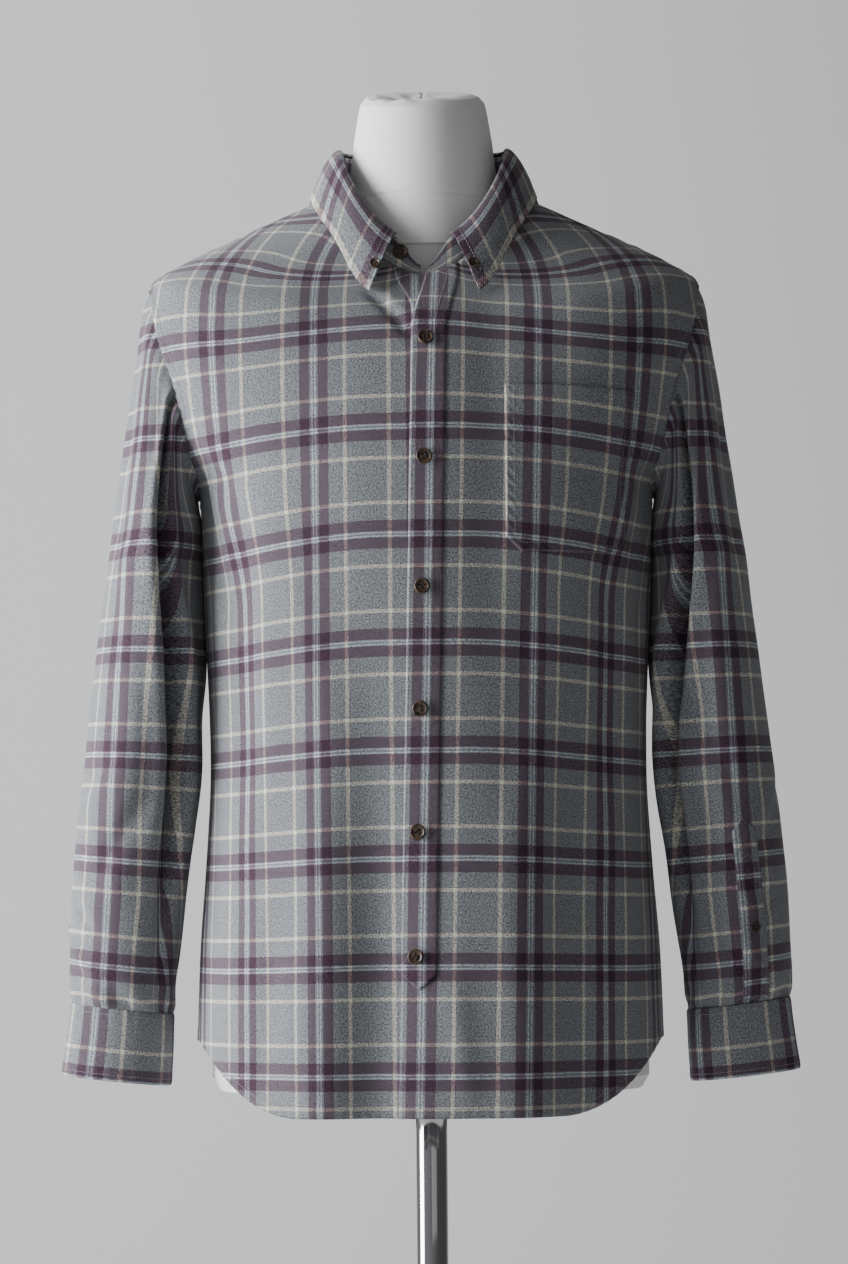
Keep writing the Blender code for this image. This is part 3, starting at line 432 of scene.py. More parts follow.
def gathered(distance, z):
    """Cloth drawn into the soft gathers under the arms, added to a distance round."""
    beyond = np.maximum(0.0, distance - 0.088)
    return 0.28 * beyond * ease(z, 1.125, 1.02)


def drooped(distance, z):
    """How far a weft line hangs down towards the sides, less so across the chest."""
    side = 0.0136 * ease(distance, 0.030, 0.200) * np.clip((z - 0.62) / 0.42, 0.0, 1.0)
    return side * (1 - 0.55 * ease(z, 1.05, 1.20))


def front_check(side, distance, z, up):
    """Cloth coordinates of a front: its warp follows the front edge on the left side."""
    lean = placket_straight(z) + 0.0020 if side > 0 else -0.0041
    across = side * (distance + gathered(distance, z)) - lean
    return np.stack([across, up + drooped(distance, z)], axis=-1)


# ------------------------------------------------------------------ making shells
def unit_grid(name, across, up):
    """A mesh of across by up squares, and each vertex's place on the unit square."""
    bm = bmesh.new()
    bmesh.ops.create_grid(bm, x_segments=across, y_segments=up, size=1.0)
    mesh = bpy.data.meshes.new(name)
    bm.to_mesh(mesh)
    bm.free()
    flat = np.empty(len(mesh.vertices) * 3, np.float32)
    mesh.vertices.foreach_get("co", flat)
    square = np.clip((flat.reshape(-1, 3)[:, :2].astype(float) + 1) / 2, 0, 1)
    return mesh, square[:, 0], square[:, 1]


def move_vertices(mesh, points):
    mesh.vertices.foreach_set("co", points.astype(np.float32).ravel())


def placed(name, mesh):
    """A new object of the mesh, linked to the scene."""
    made = bpy.data.objects.new(name, mesh)
    bpy.context.scene.collection.objects.link(made)
    return made


def cloth_shell(name, across, up, place, wall=CLOTH, closed=False, inside=None, rounded=0.0):
    """A thin shell of cloth. place(s, t) gives the outer face and the cloth coordinates over
    the unit square; inside(points) gives points that the inner face looks at."""
    mesh, s, t = unit_grid(name, across, up)
    points, coordinates = place(s, t)
    move_vertices(mesh, points)
    loops = np.empty(len(mesh.loops), np.int32)
    mesh.loops.foreach_get("vertex_index", loops)
    layer = mesh.uv_layers.new(name="Cloth")
    layer.uv.foreach_set("vector", coordinates[loops].astype(np.float32).ravel())
    bm = bmesh.new()
    bm.from_mesh(mesh)
    if closed:
        bmesh.ops.remove_doubles(bm, verts=bm.verts, dist=1e-5)
    bm.normal_update()
    middles = np.array([face.calc_center_median() for face in bm.faces])
    normals = np.array([face.normal * face.calc_area() for face in bm.faces])
    if (normals * (middles - inside(middles))).sum() < 0:
        bmesh.ops.reverse_faces(bm, faces=bm.faces)
    bm.to_mesh(mesh)
    bm.free()
    mesh.shade_smooth()
    made = placed(name, mesh)
    thick = made.modifiers.new("Wall", "SOLIDIFY")
    thick.thickness = wall
    thick.offset = -1
    thick.use_even_offset = False
    if rounded:
        edge = made.modifiers.new("Edge", "BEVEL")
        edge.width = rounded
        edge.segments = 2
        edge.limit_method = "ANGLE"
        edge.angle_limit = math.radians(50)
    return made


def closed_form(name, across, up, place):
    """A closed smooth solid. place(s, t) goes once round it in s and from end to end in t."""
    mesh, s, t = unit_grid(name, across, up)
    move_vertices(mesh, place(s, t))
    bm = bmesh.new()
    bm.from_mesh(mesh)
    bmesh.ops.remove_doubles(bm, verts=bm.verts, dist=1e-6)
    bmesh.ops.holes_fill(bm, edges=[edge for edge in bm.edges if edge.is_boundary], sides=0)
    bmesh.ops.recalc_face_normals(bm, faces=bm.faces)
    bm.to_mesh(mesh)
    bm.free()
    mesh.shade_smooth()
    return placed(name, mesh)


def middle_of_body(points):
    return stacked(0.0 * points[:, 0], 0.0, np.minimum(points[:, 2], 1.27))


def middle_of_neck(points):
    return stacked(0.0 * points[:, 0], 0.0, points[:, 2])


def arc_from(points):
    """Distances along a line of points."""
    steps = np.linalg.norm(np.diff(points, axis=0), axis=-1)
    return np.concatenate([[0.0], np.cumsum(steps)])


def height_curve(angle):
    """Cloth length up the body at an angle, as a curve of the ring, level with z low down."""
    rings = np.linspace(RINGS[0][0], NECK, 400)
    points = body_surface(np.full_like(rings, angle), rings)
    length = arc_from(points)
    base = np.interp(0.988, points[:, 2], length)
    return lambda ring: np.interp(ring, rings, length - base + 0.988)


HEIGHTS = {name: height_curve(math.radians(a)) for name, a in
           (("front", 0.0), ("quarter", 45.0), ("side", 89.0), ("back", 180.0), ("blade", 135.0))}


def cloth_height(angle, ring):
    """How far up the cloth a point lies, so that the weft follows the body's length."""
    degrees = np.abs(np.degrees(angle))
    stops = ((0, "front"), (45, "quarter"), (89, "side"), (135, "blade"), (180, "back"))
    height = np.zeros(np.broadcast(angle, ring).shape)
    for (low, a), (high, b) in zip(stops, stops[1:]):
        here = (degrees >= low) & (degrees < high + (high == 180))
        share = ease(degrees, low, high)
        height = np.where(here, HEIGHTS[a](ring) * (1 - share) + HEIGHTS[b](ring) * share, height)
    return height


# ------------------------------------------------------------------ fronts, back and yoke
def rows_up(t, angle, top):
    """Rings up a panel: along the hem at its foot and level further up."""
    ring = HEM_FRONT + (top - HEM_FRONT) * t
    return ring + (hem_height(angle) - HEM_FRONT) * (1 - ease(ring, HEM_FRONT, 0.80))


def body_detail(across, up, face_creases, seed):
    """Fine relief that all panels and the pieces on them share."""
    return creases(across, up, face_creases) + 0.0007 * ripple(across, up * 0.6, seed, 0.07)


def front_piece(s, t, side):
    angle = math.pi / 4 * s
    for _ in range(5):
        ring = rows_up(t, angle, NECK)
        z = body_surface(0.0 * ring, ring)[:, 2]
        if side > 0:
            edge = placket_centre(z) - PLACKET_WIDTH / 2
        else:
            edge = -under_edge(z)
        limit = distance_at(front_side_angle(ring), ring, side)
        distance = edge + (limit - edge) * s
        angle = angle_at(distance, ring, side)
    up = cloth_height(angle, ring)
    lift = body_detail(side * distance, up, FRONT_CREASES, 3)
    near_armhole = np.where(ring > ARMPIT - 0.01, limit - distance, 1.0)
    lift += 0.0005 * pucker(ring, near_armhole, 7) + 0.0009 * bump_shape(near_armhole, 0.004)
    lift += 0.0003 * pucker(distance, ring - hem_height(angle), 9, reach=0.006)
    if side > 0:
        lift += lap_lift(distance)
    return on_body(side * angle, ring, lift), front_check(side, distance, z, up)


def back_piece(s, t):
    half = 2 * s - 1
    angle = math.pi - half * math.pi / 2
    for _ in range(4):
        ring = rows_up(t, math.pi - np.abs(math.pi - angle), YOKE_BACK)
        start = math.pi / 2 + armhole_bite(ring)
        angle = math.pi - half * (math.pi - start)
    reach = distance_at(np.full_like(ring, math.pi), ring) - distance_at(start, ring)
    across = half * reach
    up = cloth_height(math.pi - np.abs(math.pi - angle), ring)
    lift = body_detail(across, up, BACK_CREASES, 13)
    near = np.where(ring > ARMPIT - 0.01, reach - np.abs(across), 1.0)
    lift += 0.0005 * pucker(ring, near, 17) + 0.0009 * bump_shape(near, 0.004)
    lift += 0.0003 * pucker(across, ring - hem_height(angle), 19, reach=0.006)
    return on_body(angle, ring, lift), np.stack([across, up], axis=-1)


def yoke_piece(s, t):
    half = 2 * s - 1
    ring = YOKE_BACK - 0.001 + (NECK - YOKE_BACK + 0.001) * t
    low = math.pi / 2 + armhole_bite(ring)
    high = math.pi / 2 - YOKE_FORWARD * ease(ring, SHOULDER, NECK)
    start = np.where(ring <= SHOULDER, low, high)
    angle = math.pi - half * (math.pi - start)
    folded = math.pi - np.abs(math.pi - angle)
    reach = distance_at(np.full_like(ring, math.pi), ring) - distance_at(folded, ring)
    across = np.sign(half) * reach
    up = cloth_height(folded, ring)
    lift = 0.0007 + 0.0005 * ripple(across, up, 23, 0.05)
    lift = lift + 0.0004 * pucker(across, (ring - YOKE_BACK) * 1.2, 27)
    return on_body(angle, ring, lift), np.stack([across, up + 0.03], axis=-1)


def build_body_panels():
    made = {}
    for name, across, up, place in (
        ("front_left", 120, 250, partial(front_piece, side=1)),
        ("front_right", 120, 250, partial(front_piece, side=-1)),
        ("back", 170, 200, back_piece),
        ("yoke", 170, 60, yoke_piece),
    ):
        made[name] = cloth_shell("shirt_" + name, across, up, place, inside=middle_of_body)
    return made


# ------------------------------------------------------------------ plackets and pocket
def strip_on_front(distance, ring, extra, side, shift):
    angle = angle_at(distance, ring, side)
    up = cloth_height(angle, ring)
    lift = body_detail(side * distance, up, FRONT_CREASES, 3) + extra
    if side > 0:
        lift = lift + lap_lift(distance)
    check = front_check(side, distance, ring, up) + np.array([shift, 0.0])
    return on_body(side * angle, ring, lift), check


def placket_piece(s, t):
    foot = PLACKET_POINT + (PLACKET_SHOULDER - PLACKET_POINT) * np.abs(2 * s - 1)
    ring = foot + (NECK - foot) * t
    z = body_surface(0.0 * ring, ring)[:, 2]
    distance = placket_centre(z) + (s - 0.5) * PLACKET_WIDTH
    edge = np.minimum(s, 1 - s) * PLACKET_WIDTH
    soft = -0.0006 * bump_shape(edge, 0.0012) + 0.00035 * pucker(ring, edge - 0.002, 31, 0.004)
    return strip_on_front(distance, ring, LIFT_TRIM + soft, 1, 0.0)


def button_band_piece(s, t):
    ring = HEM_FRONT + (NECK - HEM_FRONT) * t
    z = body_surface(0.0 * ring, ring)[:, 2]
    distance = -(under_edge(z) - 0.0006 - (1 - s) * (PLACKET_WIDTH - 0.0012))
    return strip_on_front(distance, ring, LIFT_TRIM + 0.0 * ring, -1, 0.004)


def pocket_piece(s, t):
    span = POCKET_RIGHT - POCKET_LEFT
    near_corner = np.minimum(s, 1 - s) * span
    foot = POCKET_BOTTOM + np.maximum(0.0, POCKET_CORNER - near_corner)
    ring = foot + (POCKET_TOP - foot) * t
    distance = POCKET_LEFT + span * s
    edge = np.minimum(np.minimum(s, 1 - s) * span, ring - foot)
    mouth = 0.0010 * bump_shape(POCKET_TOP - ring, 0.012) * np.sin(math.pi * s)
    soft = -0.0006 * bump_shape(edge, 0.0012) + 0.0004 * pucker(ring + s * 0.1, edge - 0.002, 37)
    fullness = 0.0012 * np.sin(math.pi * s) * np.sin(math.pi * np.clip(t, 0, 1) * 0.6 + 0.5)
    return strip_on_front(distance, ring, LIFT_TRIM + mouth + soft + fullness, 1, 0.0)


def build_front_trim():
    made = {}
    for name, across, up, place in (
        ("front_placket", 18, 260, placket_piece),
        ("button_band", 12, 240, button_band_piece),
        ("pocket", 64, 72, pocket_piece),
    ):
        made[name] = cloth_shell("shirt_" + name, across, up, place, TRIM, inside=middle_of_body)
    return made


# ------------------------------------------------------------------ sleeves and cuffs
SLEEVE = table_curves(SLEEVE_COLUMNS, SLEEVE_SECTIONS)
CUFF = table_curves(SLEEVE_COLUMNS, CUFF_SECTIONS)
SLEEVE_TOP = SLEEVE_SECTIONS[0][0]
SLEEVE_FOOT = SLEEVE_SECTIONS[-1][0]
SLEEVE_HEAD = 0.36             # the share of a sleeve's rows between armhole and first section

# Creases of the sleeves, by distance round from the outer line (towards the front) and height
LEFT_SLEEVE_CREASES = (
    (0.020, 1.240, 0.060, 1.020, -0.0030, 0.0100),
    (0.075, 1.180, 0.085, 0.960, 0.0030, 0.0140),
    (0.110, 0.960, 0.070, 0.860, -0.0025, 0.0090),
    (0.000, 0.880, 0.060, 0.820, -0.0018, 0.0080),
    (0.090, 0.820, 0.040, 0.770, -0.0020, 0.0070),
    (0.085, 0.770, 0.050, 0.725, 0.0018, 0.0060),
    (-0.060, 1.060, -0.080, 0.900, -0.0030, 0.0120),
    (-0.100, 0.860, -0.040, 0.800, -0.0022, 0.0090),
)
RIGHT_SLEEVE_CREASES = (
    (0.030, 1.240, 0.055, 1.000, -0.0026, 0.0110),
    (0.080, 1.150, 0.095, 0.940, 0.0026, 0.0140),
    (0.060, 0.900, 0.010, 0.860, -0.0018, 0.0080),
    (0.100, 0.880, 0.050, 0.800, -0.0022, 0.0090),
    (0.010, 0.800, 0.050, 0.760, -0.0022, 0.0060),
    (0.000, 0.760, 0.040, 0.735, 0.0018, 0.0055),
    (0.020, 0.728, 0.060, 0.716, -0.0016, 0.0050),
    (-0.050, 1.080, -0.080, 0.900, -0.0030, 0.0120),
    (-0.090, 0.840, -0.030, 0.790, -0.0022, 0.0090),
)


def section_points(curves, angle, height, valley=0.0):
    inner = curves["inner"](height)
    outer = curves["outer"](height)
    x = (inner + outer) / 2 + (outer - inner) / 2 * np.cos(angle)
    y = curves["middle_y"](height) - curves["half_depth"](height) * np.sin(angle)
    turn = (angle - VALLEY_ANGLE) / math.radians(24)
    y = y + valley * np.exp(-(turn**2))
    return stacked(x, y, height + curves["tilt"](height) * np.cos(angle))


def armhole_points(angle, away):
    share = (1 + np.cos(angle)) / 2
    ring = ARMPIT + share * (SHOULDER - ARMPIT)
    bite = armhole_bite(ring)
    round_body = np.where(np.sin(angle) < 0, math.pi / 2 + bite, math.pi / 2 - bite)
    drop = -0.65 * np.maximum(0.0, np.cos(angle))
    off_edge = unit(stacked(1.0, 0.0, drop))
    normal = body_normal(round_body, ring)
    return body_surface(round_body, ring) + off_edge * np.asarray(away)[..., None], normal


def sleeve_surface(angle, t):
    """The left sleeve's smooth form. t runs from the armhole (0) down to the cuff (1)."""
    low = np.clip((t - SLEEVE_HEAD) / (1 - SLEEVE_HEAD), 0, 1)
    height = SLEEVE_TOP + (SLEEVE_FOOT - SLEEVE_TOP) * low
    valley = VALLEY_DEPTH * ease(height, 0.74, 0.86)
    below = section_points(SLEEVE, angle, height, valley)
    share = np.clip(t / SLEEVE_HEAD, 0, 1)
    start, normal = armhole_points(angle, 0.0045 * ease(share, 0.0, 0.10))
    start = start - normal * (0.0011 * (1 - ease(share, 0.0, 0.05)))[..., None]
    end = section_points(SLEEVE, angle, np.full_like(t, SLEEVE_TOP), VALLEY_DEPTH)
    above = start + (end - start) * share[..., None]
    points = np.where((t < SLEEVE_HEAD)[..., None], above, below)
    up = np.where(t < SLEEVE_HEAD, above[..., 2], height)
    return points, up


def sleeve_normal(angle, t):
    step = 0.004
    turned = sleeve_surface(angle + step, t)[0] - sleeve_surface(angle - step, t)[0]
    lower = np.clip(t + step, 0, 1)
    upper = np.clip(t - step, 0, 1)
    down = sleeve_surface(angle, lower)[0] - sleeve_surface(angle, upper)[0]
    return unit(np.cross(turned, down))


def sleeve_arcs():
    """Distance round the sleeve from its outer line, for angles on both sides."""
    angles = np.linspace(-math.pi, math.pi, 241)
    rows = np.linspace(0, 1, 120)
    table = []
    for row in rows:
        points = sleeve_surface(angles, np.full_like(angles, row))[0]
        arc = arc_from(points)
        table.append(arc - np.interp(0.0, angles, arc))
    return np.array(table)


SLEEVE_ARCS = sleeve_arcs()


TURN_ROWS = ([SLEEVE_FOOT, SLEEVE_TOP], [1.0, SLEEVE_HEAD])


def round_sleeve(angle, t):
    return look_up(SLEEVE_ARCS, t * 119, (angle + math.pi) / (2 * math.pi) * 240)


GATHERS_START = 0.790          # below this the warp runs straight on into the gathers


def sleeve_across(angle, t, up):
    """Distance round the sleeve's cloth, which the gathers above the cuff draw together."""
    row = np.where(up < GATHERS_START, np.interp(GATHERS_START, *TURN_ROWS), t)
    return round_sleeve(angle, row)


def sleeve_check(side, across, up):
    shift = SLEEVE_SHIFT[side]
    return np.stack([side * across + shift, up], axis=-1)


SLEEVE_SHIFT = {1: 0.0112, -1: -0.0200}


VALLEY_COLUMNS = ("height", "left", "right", "depth", "breadth", "hidden")
VALLEYS = (
    (0.720, 140, 130, 0.000, 0.012, 0.020),
    (0.760, 146, 132, 0.005, 0.013, 0.034),
    (0.830, 145, 131, 0.015, 0.012, 0.048),
    (0.900, 141, 127, 0.024, 0.011, 0.050),
    (0.994, 124, 117, 0.030, 0.010, 0.050),
    (1.050, 112, 109, 0.029, 0.008, 0.046),
    (1.100, 104, 102, 0.023, 0.0065, 0.040),
    (1.180, 98, 97, 0.011, 0.006, 0.016),
    (1.260, 95, 95, 0.002, 0.006, 0.000),
)
VALLEY = table_curves(VALLEY_COLUMNS, VALLEYS)


def beside_valley(across, up, t, side):
    """How many of its breadths a place on a sleeve lies beyond the long fold."""
    degrees = VALLEY["left" if side > 0 else "right"](up)
    return (across - round_sleeve(np.radians(degrees), t)) / VALLEY["breadth"](up)


def hidden_cloth(across, up, t, side):
    """The width of cloth that the fold has swallowed before this place."""
    return VALLEY["hidden"](up) * ease(beside_valley(across, up, t, side), -0.3, 0.3)


def sleeve_valley(across, up, t, side):
    """The long fold down the front of a sleeve, with a lip on each side."""
    aside = beside_valley(across, up, t, side)
    lips = bump_shape(aside - 1.5, 0.9) * 0.26 + bump_shape(aside + 1.3, 0.8) * 0.24
    return VALLEY["depth"](up) * (lips - bump_shape(aside, 0.50))


def beside_body(angle, up):
    """The upper arm's inner side leans on the body."""
    inner = bump_shape(np.abs(angle) - math.pi, math.radians(46))
    return 0.0052 * inner * ease(up, 0.93, 0.98) * ease(up, 1.125, 1.085)


def sleeve_relief(across, up, angle, t, side):
    rows = LEFT_SLEEVE_CREASES if side > 0 else RIGHT_SLEEVE_CREASES
    relief = creases(across, up, rows) + sleeve_valley(across, up, t, side)
    relief += beside_body(angle, up)
    relief += 0.0012 * ripple(across, up * 0.7, 41 + side, 0.06)
    relief += 0.0006 * pucker(angle * 0.07, t * 0.6, 43 + side, reach=0.012)
    gathers = np.sin(across * 2 * math.pi / 0.034 + side) * (1 - ease(up, SLEEVE_FOOT, 0.745))
    relief += 0.0016 * gathers * ease(up, SLEEVE_FOOT - 0.001, SLEEVE_FOOT + 0.010)
    return relief


def sleeve_piece(s, t, side):
    angle = (2 * s - 1) * math.pi
    wrapped = np.where(angle >= math.pi - 1e-9, -math.pi, angle)
    points, up = sleeve_surface(wrapped, t)
    across = round_sleeve(angle, t)
    relief = sleeve_relief(round_sleeve(wrapped, t), up, wrapped, t, side)
    relief = relief * ease(t, 0.0, 0.02)
    points = points + sleeve_normal(wrapped, t) * relief[..., None]
    swallowed = hidden_cloth(across, up, t, side)
    across = sleeve_across(angle, t, up) + swallowed
    return points * np.array([side, 1, 1]), sleeve_check(side, across, up)


def middle_of_sleeve(side):
    def middle(points):
        height = np.minimum(points[:, 2], 1.10)
        x = np.where(
            height > SLEEVE_FOOT,
            (SLEEVE["inner"](height) + SLEEVE["outer"](height)) / 2,
            (CUFF["inner"](height) + CUFF["outer"](height)) / 2,
        )
        return stacked(side * x, -0.008, height)

    return middle


def round_cuff(angle):
    """Distance round a cuff from its outer line."""
    angles = np.radians(np.arange(-360, 361, 3.0))
    points = section_points(CUFF, angles, np.full_like(angles, 0.67))
    arc = arc_from(points)
    return np.interp(angle, angles, arc - np.interp(0.0, angles, arc))


CUFF_SHIFT = {1: -0.0165, -1: -0.0430}
CUFF_DROP = 0.007


def cuff_piece(s, t, side):
    overlap = math.radians(22)
    top = CUFF_SECTIONS[0][0] - 0.0002
    height = top + (CUFF_SECTIONS[2][0] - top) * t
    angle = CUFF_SLIT - 2 * math.pi + (2 * math.pi + overlap) * s
    points = section_points(CUFF, angle, height)
    middle = middle_of_sleeve(1)(points)
    out = unit((points - middle) * np.array([1, 1, 0]))
    layer = ease(s, 0.80, 0.93) * 0.0012 - (1 - ease(s, 0.07, 0.2)) * 0.0022
    edge = np.minimum(t, 1 - t) * 0.0585
    relief = layer - 0.0005 * bump_shape(edge, 0.0012) + 0.0005 * ripple(s * 0.26, height, 47, 0.04)
    relief += 0.0003 * pucker(s * 0.26, edge - 0.005, 49, 0.005)
    points = points + out * relief[..., None]
    across = side * round_cuff(angle) + CUFF_SHIFT[side]
    return points * np.array([side, 1, 1]), np.stack([across, height + CUFF_DROP], axis=-1)


def sleeve_placket_place(s, t, side):
    """Angle and row on the sleeve under a place on its placket."""
    turn = SLEEVE_PLACKET_ANGLES[side]
    top = SLEEVE_PLACKET_TOP - 0.010 * np.abs(2 * s - 1)
    height = SLEEVE_PLACKET_FOOT + (top - SLEEVE_PLACKET_FOOT) * t
    row = SLEEVE_HEAD + (1 - SLEEVE_HEAD) * (SLEEVE_TOP - height) / (SLEEVE_TOP - SLEEVE_FOOT)
    step = 0.02
    ahead = round_sleeve(np.full_like(s, turn + step), row)
    behind = round_sleeve(np.full_like(s, turn - step), row)
    aside = (s - 0.5) * SLEEVE_PLACKET_WIDTH
    return turn + aside * 2 * step / (ahead - behind), row, aside


def sleeve_placket_piece(s, t, side):
    angle, row, aside = sleeve_placket_place(s, t, side)
    points, up = sleeve_surface(angle, row)
    edge = np.minimum(s, 1 - s) * SLEEVE_PLACKET_WIDTH
    relief = sleeve_relief(round_sleeve(angle, row), up, angle, row, side)
    relief = relief + LIFT_TRIM - 0.0004 * bump_shape(edge, 0.0012)
    points = points + sleeve_normal(angle, row) * relief[..., None]
    check = np.stack([side * aside - 0.0075, up + 0.017], axis=-1)
    return points * np.array([side, 1, 1]), check


def build_sleeves():
    made = {}
    for word, side in (("left", 1), ("right", -1)):
        middle = middle_of_sleeve(side)
        for name, across, up, place, settings in (
            ("sleeve", 180, 200, sleeve_piece, {"closed": True}),
            ("cuff", 120, 30, cuff_piece, {"wall": DOUBLE, "rounded": 0.0006}),
            ("sleeve_placket", 16, 80, sleeve_placket_piece, {"wall": TRIM}),
        ):
            name = f"{name}_{word}"
            made[name] = cloth_shell(
                "shirt_" + name, across, up, partial(place, side=side), inside=middle, **settings)
    return made


# ------------------------------------------------------------------ collar
LEAF = table_curves(LEAF_COLUMNS, LEAF_EDGE)


def neck_out(angle):
    normal = body_normal(angle, np.full_like(angle, NECK - 0.012)) * np.array([1, 1, 0])
    return unit(normal)


def stand_points(angle, share):
    foot = body_surface(angle, np.full_like(angle, NECK))
    back = (1 - np.cos(angle)) / 2
    full = STAND_FRONT + STAND_BACK_EXTRA * back
    low_end = 1 - ease(np.abs(angle), STAND_END_ANGLE, LEAF_END_ANGLE)
    height = full + (STAND_END_HEIGHT - full) * low_end
    rise = STAND_FOOT + share * height
    return foot - neck_out(angle) * (STAND_TOP_IN * share)[..., None] + stacked(0.0, 0.0, rise)


def leaf_points(on_stand, share):
    side = np.where(on_stand < 0, -1.0, 1.0)
    degrees = np.abs(on_stand)
    angle = np.radians(degrees) * side
    top = stand_points(angle, np.ones_like(angle))
    out = neck_out(angle)
    ring = LEAF["edge_ring"](degrees)
    edge = on_body(np.radians(LEAF["edge_angle"](degrees)) * side, ring, 0.0050)
    up = np.array([0.0, 0.0, 1.0])
    start = top + up * 0.0032 - out * 0.0003
    over = start + up * (LEAF_ROLL_UP * 1.3) + out * (LEAF_ROLL_OUT * 0.5)
    down = start + (edge - start) * 0.35 + out * LEAF_ROLL_OUT + up * LEAF_ROLL_UP
    share = share[..., None]
    rest = 1 - share
    return (
        start * rest**3
        + over * (3 * rest**2 * share)
        + down * (3 * rest * share**2)
        + edge * share**3
    )


LEAF_SHIFT = -0.0016


def leaf_angle(s):
    """The place on the stand, in degrees, under a share of the leaf's length."""
    return np.where(s < 0.5, -16 - 328 * s, 180 - 328 * (s - 0.5))


def leaf_piece(s, t):
    points = leaf_points(leaf_angle(s), t)
    shares = np.linspace(0, 1, 241)
    middle = arc_from(leaf_points(leaf_angle(shares), np.full_like(shares, 0.45)))
    across = np.interp(s, shares, middle - middle[120]) + LEAF_SHIFT
    edge = np.minimum(1 - t, 1.0) * 0.055
    out = unit(points * np.array([1, 1, 0]))
    stitched = -0.0004 * bump_shape(edge - 0.0055, 0.0012)
    points = points + out * stitched[..., None]
    return points, np.stack([across, WEFT_MIDDLE + 0.051 * (0.48 - t)], axis=-1)


def stand_piece(s, t):
    start = STAND_END_ANGLE
    angle = start + (2 * math.pi - 2 * start) * s
    angle = np.where(angle > math.pi, angle - 2 * math.pi, angle)
    points = stand_points(angle, t)
    return points, np.stack([(s - 0.5) * 0.42, 0.034 * t + 0.02], axis=-1)


def build_collar():
    return {
        "collar_stand": cloth_shell(
            "shirt_collar_stand", 200, 14, stand_piece, DOUBLE * 0.8, inside=middle_of_neck,
            rounded=0.0005),
        "collar_leaf": cloth_shell(
            "shirt_collar_leaf", 220, 44, leaf_piece, DOUBLE, inside=middle_of_neck,
            rounded=0.0006),
    }


# ------------------------------------------------------------------ materials
def node(tree, kind, label="", **settings):
    made = tree.nodes.new(kind)
    made.label = label
    for name, value in settings.items():
        setattr(made, name, value)
    return made


def number(tree, operation, a, b=None, c=None, label=""):
    """A Math node. Each of a, b and c is a number or a socket."""
    made = node(tree, "ShaderNodeMath", label, operation=operation)
    for socket, value in zip(made.inputs, (a, b, c)):
        if value is None:
            continue
        if isinstance(value, (int, float)):
            socket.default_value = value
        else:
            tree.links.new(value, socket)
    return made.outputs[0]


def mixed(tree, factor, a, b, blend="MIX", kind="RGBA"):
    made = node(tree, "ShaderNodeMix", data_type=kind, blend_type=blend)
    sockets = {"RGBA": (6, 7, 2), "FLOAT": (2, 3, 0)}[kind]
    for socket, value in ((made.inputs[0], factor), (made.inputs[sockets[0]], a),
                          (made.inputs[sockets[1]], b)):
        if isinstance(value, (int, float, tuple)):
            socket.default_value = value
        else:
            tree.links.new(value, socket)
    return made.outputs[sockets[2]]


def band_ramp(tree, place, stops, label):
    """A ramp with sharp steps: stops are (where it starts, tint). A tint of 0.5 is neutral."""
    ramp = node(tree, "ShaderNodeValToRGB", label)
    ramp.color_ramp.interpolation = "CONSTANT"
    elements = ramp.color_ramp.elements
    while len(elements) > 1:
        elements.remove(elements[-1])
    elements[0].position = 0.0
    elements[0].color = (*stops[0][1], 1)
    for where, tint in stops[1:]:
        elements.new(where).color = (*tint, 1)
    tree.links.new(place, ramp.inputs[0])
    return ramp.outputs[0]


NEUTRAL = (0.42, 0.42, 0.42)
PLUM = (0.185, 0.108, 0.150)
CREAM = (1.00, 0.90, 0.74)
ICE = (0.86, 0.93, 0.98)
HEATHER = (0.205, 0.218, 0.232)


def band_stops(repeat, gap, plum, line, cream):
    """One repeat, with its pair of plum bands about the middle and a cream line each side."""
    half = 0.5
    lines = (
        (-cream - 0.0015, CREAM), (-cream + 0.0015, NEUTRAL), (-plum, PLUM), (-gap, NEUTRAL),
        (-line - 0.0005, ICE), (-line + 0.0005, NEUTRAL), (line - 0.0005, ICE),
        (line + 0.0005, NEUTRAL), (gap, PLUM), (plum, NEUTRAL), (cream - 0.0015, CREAM),
        (cream + 0.0015, NEUTRAL),
    )
    return ((0.0, NEUTRAL),) + tuple((half + at / repeat, tint) for at, tint in lines)


def socket_in(tree, name, kind, default=None):
    made = tree.interface.new_socket(name, in_out="INPUT", socket_type=kind)
    if default is not None:
        made.default_value = default


